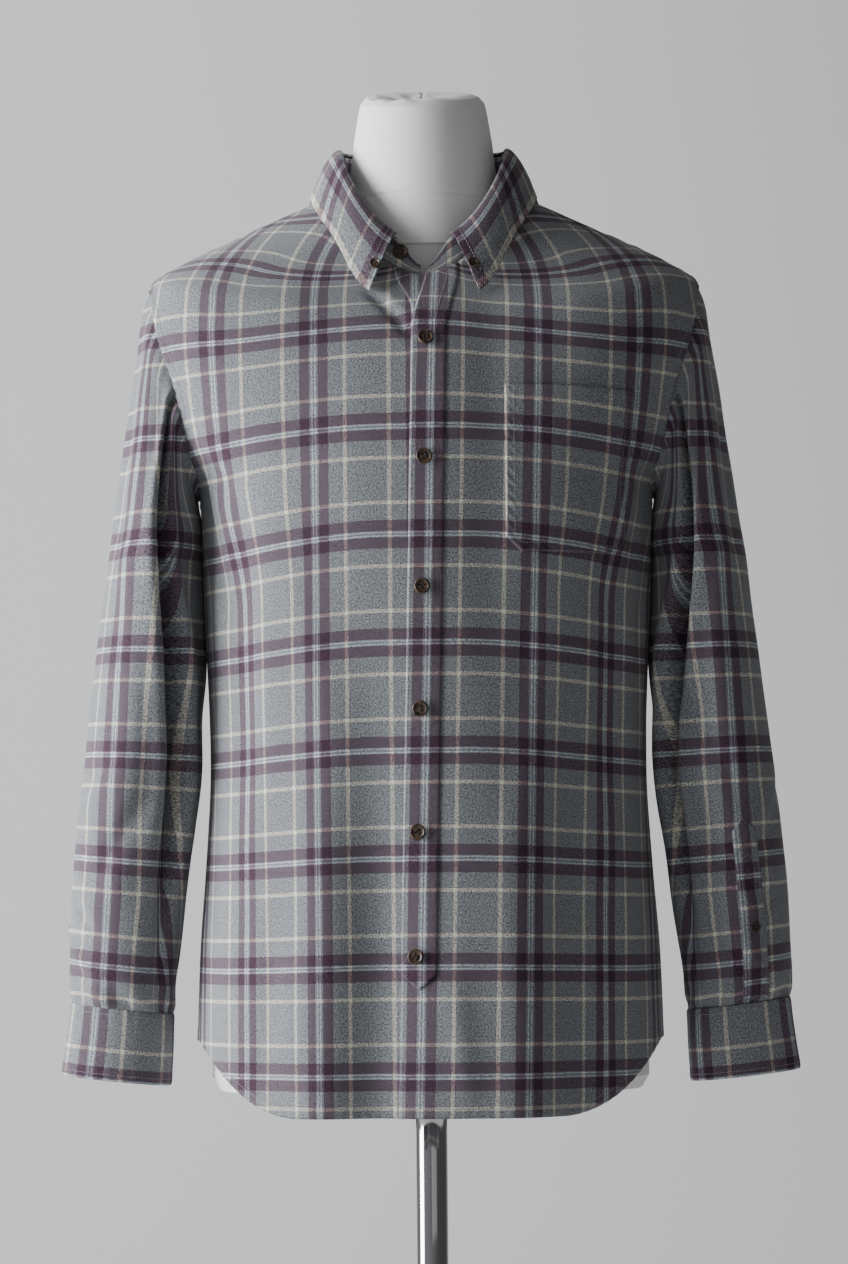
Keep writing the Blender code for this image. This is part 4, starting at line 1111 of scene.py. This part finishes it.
def check_group():
    """The woven check: its colour and its fine relief, from cloth coordinates in metres."""
    tree = bpy.data.node_groups.new("woven_check", "ShaderNodeTree")
    socket_in(tree, "Cloth", "NodeSocketVector")
    tree.interface.new_socket("Color", in_out="OUTPUT", socket_type="NodeSocketColor")
    tree.interface.new_socket("Height", in_out="OUTPUT", socket_type="NodeSocketFloat")
    enter = node(tree, "NodeGroupInput")
    leave = node(tree, "NodeGroupOutput")
    sway = node(tree, "ShaderNodeTexNoise", "yarns wander", noise_dimensions="2D")
    sway.inputs["Scale"].default_value = 900.0
    sway.inputs["Detail"].default_value = 2.0
    tree.links.new(enter.outputs["Cloth"], sway.inputs["Vector"])
    shift = node(tree, "ShaderNodeVectorMath", operation="MULTIPLY_ADD")
    tree.links.new(sway.outputs["Color"], shift.inputs[0])
    shift.inputs[1].default_value = (0.0011, 0.0011, 0)
    tree.links.new(enter.outputs["Cloth"], shift.inputs[2])
    split = node(tree, "ShaderNodeSeparateXYZ")
    tree.links.new(shift.outputs[0], split.inputs[0])
    straight = node(tree, "ShaderNodeSeparateXYZ")
    tree.links.new(enter.outputs["Cloth"], straight.inputs[0])

    def repeat_place(socket, middle, repeat):
        counted = number(tree, "DIVIDE", number(tree, "SUBTRACT", socket, middle), repeat)
        return number(tree, "FRACT", number(tree, "ADD", counted, 100.5))

    warp_stops = band_stops(WARP_REPEAT, 0.0035, 0.0113, 0.0012, 0.0250)
    weft_stops = band_stops(WEFT_REPEAT, 0.0026, 0.0113, 0.0012, 0.0250)
    warp = band_ramp(tree, repeat_place(split.outputs[0], WARP_MIDDLE + 0.00055, WARP_REPEAT),
                     warp_stops, "warp")
    weft = band_ramp(tree, repeat_place(split.outputs[1], WEFT_MIDDLE + 0.00055, WEFT_REPEAT),
                     weft_stops, "weft")
    both = mixed(tree, 1.0, warp, weft, "MULTIPLY")
    # twill: the warp lies on top over two yarns in four, a yarn further along in each row
    yarn = 0.00048
    column = number(tree, "FLOOR", number(tree, "DIVIDE", straight.outputs[0], yarn))
    row = number(tree, "FLOOR", number(tree, "DIVIDE", straight.outputs[1], yarn))
    place = number(tree, "FLOORED_MODULO", number(tree, "ADD", column, row), 4.0)
    on_top = number(tree, "LESS_THAN", place, 2.0)
    top = mixed(tree, on_top, weft, warp)
    half_top = mixed(tree, 1.0, top, (*NEUTRAL, 1), "MULTIPLY")
    woven = mixed(tree, 0.35, both, half_top)
    bright = node(tree, "ShaderNodeVectorMath", operation="MULTIPLY")
    tree.links.new(woven, bright.inputs[0])
    bright.inputs[1].default_value = tuple(value / NEUTRAL[0] ** 2 for value in HEATHER)
    # heathered yarn: light and dark fibres, fine and in clumps
    fibres = node(tree, "ShaderNodeTexNoise", "fibres", noise_dimensions="2D")
    fibres.inputs["Scale"].default_value = 760.0
    fibres.inputs["Detail"].default_value = 3.0
    fibres.inputs["Roughness"].default_value = 0.7
    tree.links.new(enter.outputs["Cloth"], fibres.inputs["Vector"])
    clumps = node(tree, "ShaderNodeTexNoise", "brushed clumps", noise_dimensions="2D")
    clumps.inputs["Scale"].default_value = 170.0
    clumps.inputs["Detail"].default_value = 4.0
    tree.links.new(enter.outputs["Cloth"], clumps.inputs["Vector"])
    speckle = number(tree, "MULTIPLY_ADD", fibres.outputs["Fac"], 3.6, -0.80)
    patch = number(tree, "MULTIPLY_ADD", clumps.outputs["Fac"], 0.30, 0.85)
    shade = number(tree, "MULTIPLY", speckle, patch)
    lit = node(tree, "ShaderNodeVectorMath", operation="SCALE")
    tree.links.new(bright.outputs[0], lit.inputs[0])
    tree.links.new(shade, lit.inputs["Scale"])
    capped = node(tree, "ShaderNodeVectorMath", operation="MINIMUM")
    tree.links.new(lit.outputs[0], capped.inputs[0])
    capped.inputs[1].default_value = (0.80, 0.77, 0.72)
    tree.links.new(capped.outputs[0], leave.inputs["Color"])
    ridge = number(tree, "MULTIPLY", on_top, 0.35)
    fuzz = number(tree, "ADD", ridge, fibres.outputs["Fac"])
    height = number(tree, "ADD", fuzz, number(tree, "MULTIPLY", clumps.outputs["Fac"], 0.8))
    tree.links.new(height, leave.inputs["Height"])
    return tree


def flannel_material():
    made = bpy.data.materials.new("brushed_flannel")
    made.use_nodes = True
    tree = made.node_tree
    shader = tree.nodes["Principled BSDF"]
    shader.inputs["Roughness"].default_value = 0.92
    shader.inputs["Specular IOR Level"].default_value = 0.18
    shader.inputs["Sheen Weight"].default_value = 0.12
    shader.inputs["Sheen Roughness"].default_value = 0.55
    cloth = node(tree, "ShaderNodeUVMap", uv_map="Cloth")
    group = node(tree, "ShaderNodeGroup")
    group.node_tree = check_group()
    tree.links.new(cloth.outputs[0], group.inputs["Cloth"])
    tree.links.new(group.outputs["Color"], shader.inputs["Base Color"])
    relief = node(tree, "ShaderNodeBump")
    relief.inputs["Strength"].default_value = 0.35
    relief.inputs["Distance"].default_value = 0.0004
    tree.links.new(group.outputs["Height"], relief.inputs["Height"])
    tree.links.new(relief.outputs[0], shader.inputs["Normal"])
    return made


def plain_material(name, colour, roughness, metallic=0.0):
    made = bpy.data.materials.new(name)
    made.use_nodes = True
    shader = made.node_tree.nodes["Principled BSDF"]
    shader.inputs["Base Color"].default_value = (*colour, 1)
    shader.inputs["Roughness"].default_value = roughness
    shader.inputs["Metallic"].default_value = metallic
    return made


# ------------------------------------------------------------------ the dress form's stand
def pole_place(s, t, rows):
    height, radius = [np.interp(t, np.linspace(0, 1, len(rows)), column) for column in rows.T]
    turn = s * 2 * math.pi
    return stacked(radius * np.cos(turn), radius * np.sin(turn), height)


def build_pole():
    """A plain chrome tube with its rims just broken."""
    low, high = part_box("pole")
    half = (high.x - low.x) / 2
    rim = []
    for turn in np.linspace(0, math.pi / 2, 3):
        rim.append((POLE_RIM * (1 - math.cos(turn)), half - POLE_RIM * (1 - math.sin(turn))))
    rows = [(low.z, 0.001)]
    rows += [(low.z + rise, radius) for rise, radius in rim]
    rows += [(high.z - rise, radius) for rise, radius in rim[::-1]]
    rows.append((high.z, 0.001))
    place = partial(pole_place, rows=np.array(rows))
    return closed_form("chrome_pole", 72, len(rows) - 1, place)


POLE_RIM = 0.001
NECK_COLUMNS = ("height", "half_width", "front_depth", "back_depth")
NECK_SECTIONS = (
    (1.3153, 0.0590, 0.0590, 0.0540),
    (1.3560, 0.0604, 0.0577, 0.0539),
    (1.3575, 0.0594, 0.0566, 0.0530),
    (1.3590, 0.0604, 0.0577, 0.0539),
    (1.3800, 0.0602, 0.0570, 0.0536),
    (1.4100, 0.0570, 0.0545, 0.0520),
    (1.4330, 0.0532, 0.0510, 0.0496),
    (1.4420, 0.0512, 0.0490, 0.0478),
    (1.4475, 0.0465, 0.0446, 0.0438),
    (1.4497, 0.0400, 0.0388, 0.0386),
    (1.4500, 0.0330, 0.0320, 0.0320),
    (1.4497, 0.0200, 0.0194, 0.0194),
    (1.4492, 0.0010, 0.0010, 0.0010),
)
NECK_SLANT = 0.30                # how steeply the top falls to the front
NECK_SLANTS_FROM = 1.38
NECK_TUFT = (-0.0125, -0.016)    # where the cover is drawn in on the top
NECK_TUFT_DEPTH = 0.0085


def neck_place(s, t):
    """A point of the neck block, once round in s and up its side to the middle of its top."""
    rows = np.array(NECK_SECTIONS)
    shares = np.concatenate([[0], np.cumsum(np.hypot(np.diff(rows[:, 0]), np.diff(rows[:, 1])))])
    shares = shares / shares[-1]
    section = {name: np.interp(t, shares, column) for name, column in zip(NECK_COLUMNS, rows.T)}
    height = section["height"]
    turn = 2 * math.pi * s
    forward = np.cos(turn)
    x = section["half_width"] * np.sin(turn)
    y = -np.where(forward > 0, section["front_depth"], section["back_depth"]) * forward
    z = height + NECK_SLANT * y * np.maximum(0.0, height - NECK_SLANTS_FROM) / 0.07
    on_top = ease(height, 1.436, 1.449)
    away = np.hypot((x - NECK_TUFT[0]) / 0.017, (y - NECK_TUFT[1]) / 0.013)
    z = z - NECK_TUFT_DEPTH * np.exp(-(away**1.5)) * on_top
    seam = bump_shape(x + 0.0002, 0.0009) * ease(y, NECK_TUFT[1], NECK_TUFT[1] + 0.01)
    z = z - 0.0016 * seam * on_top
    pulls = np.sin(7 * np.arctan2(y - NECK_TUFT[1], x - NECK_TUFT[0]) + 1.0)
    z = z + 0.0007 * pulls * np.exp(-((away - 1.6) ** 2)) * on_top
    return stacked(x, y, z)


def build_stand(cover, chrome):
    """The pole, turned smooth, and the padded neck block with its seam and tuft."""
    pole = build_pole()
    neck = closed_form("form_neck_block", 144, 150, neck_place)
    for made, name, slot, material in (
        (pole, "pole", "chrome", chrome), (neck, "form_neck", "form_cover", cover),
    ):
        made.data.materials.append(material)
        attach(made, "root")
        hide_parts(name)


# ------------------------------------------------------------------ buttons and stitches
def button_place(node_name):
    """Where a button lies, as a matrix whose Z is its face's normal."""
    flat = np.array([vert.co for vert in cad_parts[node_name].data.vertices], float)
    points = flat.reshape(-1, 3)
    middle = (points.max(axis=0) + points.min(axis=0)) / 2
    spread = np.linalg.svd(points - points.mean(axis=0), full_matrices=False)[2]
    normal = Vector(spread[2])
    on_arm = abs(middle[0]) > ARM_FROM
    outward = Vector((middle[0] - ARM_MIDDLE * np.sign(middle[0]) * on_arm, middle[1], 0))
    if normal.dot(outward) < 0:
        normal = -normal
    turn = normal.to_track_quat("Z", "Y").to_matrix().to_4x4()
    return Matrix.Translation(Vector(middle)) @ turn


ARM_FROM = 0.18                # buttons further out than this are on a sleeve or cuff
ARM_MIDDLE = 0.235


def button_rings(width):
    """A button's turned section: (radius, height) up the back, over the rim, into the dish."""
    r = width / 2
    return (
        (0.0, -0.00105), (r * 0.80, -0.00105), (r * 0.95, -0.0006), (r, 0.0),
        (r * 0.98, 0.0007), (r * 0.90, 0.00115), (r * 0.80, 0.0011), (r * 0.70, 0.0006),
        (r * 0.60, 0.00035), (0.0, 0.00030),
    )


def button_mesh(name, place, width):
    """A button with a near-black disc of painted shade where each of its four holes lies, and two
    rows of thread over them.
    """
    steps = 40
    bm = bmesh.new()
    rows = []
    for radius, height in button_rings(width):
        if radius == 0.0:
            rows.append([bm.verts.new((0, 0, height))])
            continue
        row = []
        for k in range(steps):
            a = 2 * math.pi * k / steps
            row.append(bm.verts.new((radius * math.cos(a), radius * math.sin(a), height)))
        rows.append(row)
    for low, high in zip(rows, rows[1:]):
        for k in range(steps):
            n = (k + 1) % steps
            if len(low) == 1:
                bm.faces.new((low[0], high[n], high[k]))
            elif len(high) == 1:
                bm.faces.new((low[k], low[n], high[0]))
            else:
                bm.faces.new((low[k], low[n], high[n], high[k]))
    bmesh.ops.recalc_face_normals(bm, faces=bm.faces)
    # the four holes are not cut: each is a thin near-black disc on the face, painted shade
    apart = width * 0.115
    for x in (-1, 1):
        for y in (-1, 1):
            at = Matrix.Translation((x * apart, y * apart, 0.00036))
            add_rod(bm, at, width * 0.062, 0.0001, 14, HOLE_SHADE)
    for side in (-1, 1):
        at = Matrix.Translation((side * apart, 0, 0.00052)) @ Matrix.Rotation(math.pi / 2, 4, "X")
        add_rod(bm, at, 0.00042, 2 * apart + 0.0006, 8, THREAD)
    bmesh.ops.transform(bm, matrix=place, verts=bm.verts)
    mesh = bpy.data.meshes.new(name)
    bm.to_mesh(mesh)
    bm.free()
    mesh.shade_smooth()
    return mesh


HOLE_SHADE = 1                        # a button's materials: 0 is horn, then the painted shade of its holes, then thread
THREAD = 2


def add_rod(bm, at, radius, depth, segments, material):
    """A short rod or disc, with its faces given a material."""
    before = set(bm.faces)
    bmesh.ops.create_cone(
        bm, cap_ends=True, segments=segments, radius1=radius, radius2=radius, depth=depth,
        matrix=at)
    for face in set(bm.faces) - before:
        face.material_index = material


BUTTON_NODES = (
    *((f"front_button_{count}", BUTTON) for count in range(1, 7)),
    ("stand_button", BUTTON),
    *((f"{part}_button_{side}", SMALL_BUTTON)
      for part in ("collar", "sleeve", "cuff") for side in ("left", "right")),
)


def build_buttons(horn, painted_hole_shade, thread):
    for count, (name, width) in enumerate(BUTTON_NODES):
        turned = button_place(name) @ Matrix.Rotation(0.5 * count, 4, "Z")
        mesh = button_mesh("sewn_" + name, turned, width)
        for material in (horn, painted_hole_shade, thread):
            mesh.materials.append(material)
        made = placed("sewn_" + name, mesh)
        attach(made, "root")
        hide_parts(name)


STITCH_PITCH = 0.0029
STITCH_LONG = 0.0021


def run_of_stitches(bm, line, out, lift=0.00012):
    """Short threads laid along a line of points, each resting on the cloth under it."""
    arc = arc_from(line)
    count = int(arc[-1] / STITCH_PITCH)
    if count < 2:
        return
    middles = (np.arange(count) + 0.5) * STITCH_PITCH
    ends = []
    for offset in (-STITCH_LONG / 2, 0.0, STITCH_LONG / 2):
        at = middles + offset
        point = np.stack([np.interp(at, arc, line[:, k]) for k in range(3)], axis=-1)
        normal = unit(np.stack([np.interp(at, arc, out[:, k]) for k in range(3)], axis=-1))
        ends.append((point, normal))
    along = unit(ends[2][0] - ends[0][0])
    wide = 0.00026
    rows = []
    for k, rise in ((0, 0.0), (1, 0.00028), (2, 0.0)):
        point, normal = ends[k]
        across = unit(np.cross(normal, along)) * wide * (1.0 if k == 1 else 0.55)
        base = point + normal * lift
        rows.append((base - across, base + normal * (rise + 0.00008), base + across))
    for i in range(count):
        corners = [[bm.verts.new(edge[i]) for edge in row] for row in rows]
        for low, high in zip(corners, corners[1:]):
            for a in (0, 1):
                bm.faces.new((low[a], low[a + 1], high[a + 1], high[a]))
        bm.faces.new((corners[0][0], corners[1][0], corners[2][0], corners[2][2],
                          corners[1][2], corners[0][2]))
        bm.faces.new((corners[0][0], corners[0][2], corners[0][1]))
        bm.faces.new((corners[2][0], corners[2][1], corners[2][2]))


def on_cloth(place, across, up):
    """Points of a cloth's outer face and the outward direction at each."""
    s = np.asarray(across, float)
    t = np.asarray(up, float)
    points = place(s, t)[0]
    step = 2e-3
    ahead = place(np.clip(s + step, 0, 1), t)[0] - place(np.clip(s - step, 0, 1), t)[0]
    above = place(s, np.clip(t + step, 0, 1))[0] - place(s, np.clip(t - step, 0, 1))[0]
    return points, unit(np.cross(ahead, above))


def facing_away(points, normals, middle):
    away = points - middle(points)
    flip = np.sign((normals * away).sum(axis=-1))
    return normals * np.where(flip == 0, 1, flip)[..., None]


def stitch_rows():
    """Every row of stitches: a cloth's place, its middle, and shares across and up it."""
    def level(start, end, count, height):
        along = np.linspace(start, end, count)
        return along, height + 0 * along

    def upright(across, start, end):
        up = start + (end - start) * np.linspace(0.004, 0.996, 500)
        return across + 0 * up, up

    # the first placket row, just inside its free edge, is topstitching in pale thread that also
    # serves as a painted edge highlight
    near = STITCHED_IN / PLACKET_WIDTH
    rows = [(placket_piece, middle_of_body, *upright(across, 0.012, 0.998))
            for across in (near, 1 - 6 * near)]
    for inset in POCKET_STITCHES:
        a = inset / (POCKET_RIGHT - POCKET_LEFT)
        b = inset / (POCKET_TOP - POCKET_BOTTOM)
        corners = ((a, 0.99), (a, b), (1 - a, b), (1 - a, 0.99))
        sides = [np.linspace(start, end, count)
                 for start, end, count in zip(corners, corners[1:], (60, 90, 60))]
        rows.append((pocket_piece, middle_of_body, *np.concatenate(sides).T))
    rows.append((pocket_piece, middle_of_body, *level(0.02, 0.98, 90, 0.80)))
    for side in (1, -1):
        middle = middle_of_sleeve(side)
        cuff = partial(cuff_piece, side=side)
        strip = partial(sleeve_placket_piece, side=side)
        rows += [(cuff, middle, *level(0.02, 0.985, 400, height)) for height in (0.09, 0.91)]
        rows += [(strip, middle, *upright(across, 0.02, 0.94)) for across in (0.09, 0.91)]
        rows.append((strip, middle, *level(0.1, 0.9, 20, 0.80)))
    rows.append((leaf_piece, middle_of_neck, *level(0.012, 0.988, 800, 0.90)))
    rows += [(leaf_piece, middle_of_neck, *upright(end, 0.05, 0.90)) for end in (0.011, 0.989)]
    for side in (1, -1):
        front = partial(front_piece, side=side)
        rows.append((front, middle_of_body, *level(0.01, 0.985, 700, 0.010)))
        arm = np.linspace(0.62, 0.93, 300)
        rows.append((front, middle_of_body, 0.972 + 0 * arm, arm))
    rows.append((back_piece, middle_of_body, *level(0.01, 0.985, 700, 0.011)))
    return rows


STITCHED_IN = 0.0016           # the topstitching runs this far inside an edge
POCKET_STITCHES = (0.0016, 0.0072)


def build_stitches(thread):
    """All the topstitching as one mesh of short threads. The pale row just inside the front
    placket's free edge is topstitching and also a painted highlight along that folded edge.
    """
    bm = bmesh.new()
    for place, middle, across, up in stitch_rows():
        points, normals = on_cloth(place, across, up)
        run_of_stitches(bm, points, facing_away(points, normals, middle))
    mesh = bpy.data.meshes.new("topstitching")
    bm.to_mesh(mesh)
    bm.free()
    mesh.materials.append(thread)
    made = placed("topstitching", mesh)
    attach(made, "root")


def horn_material():
    """Polished dark horn with brown clouds."""
    made = plain_material("dark_horn", (0.05, 0.03, 0.02), 0.34)
    tree = made.node_tree
    shader = tree.nodes["Principled BSDF"]
    place = node(tree, "ShaderNodeTexCoord")
    clouds = node(tree, "ShaderNodeTexNoise", "clouds in the horn")
    clouds.inputs["Scale"].default_value = 260.0
    clouds.inputs["Detail"].default_value = 3.0
    tree.links.new(place.outputs["Object"], clouds.inputs["Vector"])
    tint = node(tree, "ShaderNodeValToRGB", "dark to golden brown")
    tint.color_ramp.elements[0].position = 0.40
    tint.color_ramp.elements[0].color = (0.012, 0.008, 0.006, 1)
    tint.color_ramp.elements[1].position = 0.68
    tint.color_ramp.elements[1].color = (0.120, 0.072, 0.040, 1)
    tree.links.new(clouds.outputs["Fac"], tint.inputs[0])
    tree.links.new(tint.outputs[0], shader.inputs["Base Color"])
    return made


def cover_material():
    """The form's white stretch cover: a fine even knit."""
    made = plain_material("form_cover", (0.93, 0.92, 0.90), 0.85)
    tree = made.node_tree
    shader = tree.nodes["Principled BSDF"]
    shader.inputs["Sheen Weight"].default_value = 0.15
    place = node(tree, "ShaderNodeTexCoord")
    knit = node(tree, "ShaderNodeTexNoise", "knit")
    knit.inputs["Scale"].default_value = 1500.0
    tree.links.new(place.outputs["Object"], knit.inputs["Vector"])
    relief = node(tree, "ShaderNodeBump")
    relief.inputs["Strength"].default_value = 0.25
    relief.inputs["Distance"].default_value = 0.0003
    tree.links.new(knit.outputs["Fac"], relief.inputs["Height"])
    tree.links.new(relief.outputs[0], shader.inputs["Normal"])
    return made


# ------------------------------------------------------------------ studio
COVE_STARTS = 3.2              # the floor runs level to here, so the shirt can be walked round
COVE_RADIUS = 3.2
COVE_HALF_WIDTH = 9.0
COVE_FRONT = -9.0
COVE_TOP = 9.0


def build_stage():
    """A plain paper sweep: level floor, then one even curve up into the wall."""
    turns = np.linspace(0, math.pi / 2, 65)
    profile = [(COVE_FRONT, 0.0)]
    profile += [(COVE_STARTS + COVE_RADIUS * math.sin(a), COVE_RADIUS * (1 - math.cos(a)))
                for a in turns]
    profile.append((COVE_STARTS + COVE_RADIUS, COVE_TOP))
    bm = bmesh.new()
    bmesh.ops.create_grid(bm, x_segments=1, y_segments=len(profile) - 1, size=1.0)
    for vert in bm.verts:
        row = round((vert.co.y + 1) / 2 * (len(profile) - 1))
        y, z = profile[row]
        vert.co = (vert.co.x * COVE_HALF_WIDTH, y, z)
    mesh = bpy.data.meshes.new("sweep")
    bm.to_mesh(mesh)
    bm.free()
    mesh.shade_smooth()
    made = placed("sweep", mesh)
    made.data.materials.append(plain_material("sweep_paint", (0.56, 0.565, 0.57), 0.9))


def area_light(name, place, target, size, power, colour=(1, 1, 1)):
    light = bpy.data.lights.new(name, "AREA")
    light.shape = "RECTANGLE"
    light.size, light.size_y = size
    light.energy = power
    light.color = colour
    made = placed(name, light)
    made.location = place
    made.rotation_euler = (Vector(target) - Vector(place)).to_track_quat("-Z", "Y").to_euler()


def build_lights():
    area_light("window", (-2.65, -0.52, 1.40), (0, 0, 0.97), (1.5, 2.2), 205, (0.98, 0.99, 1.0))
    area_light("room", (1.0, -3.4, 2.2), (0, 0, 1.0), (2.5, 2.5), 5, (1.0, 0.96, 0.90))
    area_light("wash", (-1.6, 2.6, 4.0), (-0.7, 5.6, 1.1), (4.0, 2.0), 235, (1.0, 1.0, 1.0))
    world = bpy.data.worlds.new("studio")
    bpy.context.scene.world = world
    world.use_nodes = True
    tree = world.node_tree
    facing = node(tree, "ShaderNodeTexCoord")
    split = node(tree, "ShaderNodeSeparateXYZ")
    tree.links.new(facing.outputs["Generated"], split.inputs[0])
    room = node(tree, "ShaderNodeValToRGB", "from the windows round to the dim end of the room")
    room.color_ramp.interpolation = "EASE"
    room.color_ramp.elements[0].color = (0.70, 0.71, 0.74, 1)
    room.color_ramp.elements[1].color = (0.20, 0.19, 0.19, 1)
    across = number(tree, "MULTIPLY_ADD", split.outputs[0], 0.5, 0.5)
    tree.links.new(across, room.inputs[0])
    tree.links.new(room.outputs[0], tree.nodes["Background"].inputs[0])
    tree.nodes["Background"].inputs[1].default_value = 0.40


CAMERA_AWAY = 2.72
EYE_HEIGHT = 0.81
LENS = 94.5
TILT = math.radians(2.05)
RISE = 0.0940                  # the frame's middle lies this share above the camera's axis
ROLL = math.radians(-0.50)


def build_camera():
    camera = bpy.data.cameras.new("camera")
    camera.lens = LENS
    camera.sensor_width = 36
    made = bpy.data.objects.new("camera", camera)
    camera.shift_y = RISE
    made.location = (-0.0035, -CAMERA_AWAY, EYE_HEIGHT)
    turn = Matrix.Rotation(math.pi / 2 + TILT, 4, "X") @ Matrix.Rotation(ROLL, 4, "Z")
    made.rotation_euler = turn.to_euler()
    bpy.context.scene.collection.objects.link(made)
    bpy.context.scene.camera = made


# ------------------------------------------------------------------ the shirt, put together
def main():
    build_camera()
    build_lights()
    build_stage()
    flannel = flannel_material()
    cloth = {}
    cloth.update(build_body_panels())
    cloth.update(build_front_trim())
    cloth.update(build_sleeves())
    cloth.update(build_collar())
    for node_name, piece in cloth.items():
        piece.data.materials.append(flannel)
        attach(piece, "root")
        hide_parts(node_name)
    cover = cover_material()
    chrome = plain_material("chrome", (0.58, 0.58, 0.59), 0.07, 1.0)
    horn = horn_material()
    # near-black discs on the buttons' faces: painted shade standing in for the holes
    painted_hole_shade = plain_material("painted_button_hole_shade", (0.006, 0.004, 0.003), 0.8)
    dark_thread = plain_material("dark_thread", (0.030, 0.026, 0.030), 0.85)
    # pale thread for all the topstitching; along the front placket's free edge it is also a painted
    # edge highlight
    pale_thread_and_edge_highlight = plain_material("pale_thread_and_edge_highlight", (0.30, 0.31, 0.33), 0.85)
    build_buttons(horn, painted_hole_shade, dark_thread)
    build_stitches(pale_thread_and_edge_highlight)
    build_stand(cover, chrome)
    sewn = {name for name, _ in BUTTON_NODES}
    for name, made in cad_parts.items():
        if name in cloth or name in sewn:
            continue
        made.data.materials.clear()
        made.data.materials.append(cover if name.startswith("form") else chrome)


main()
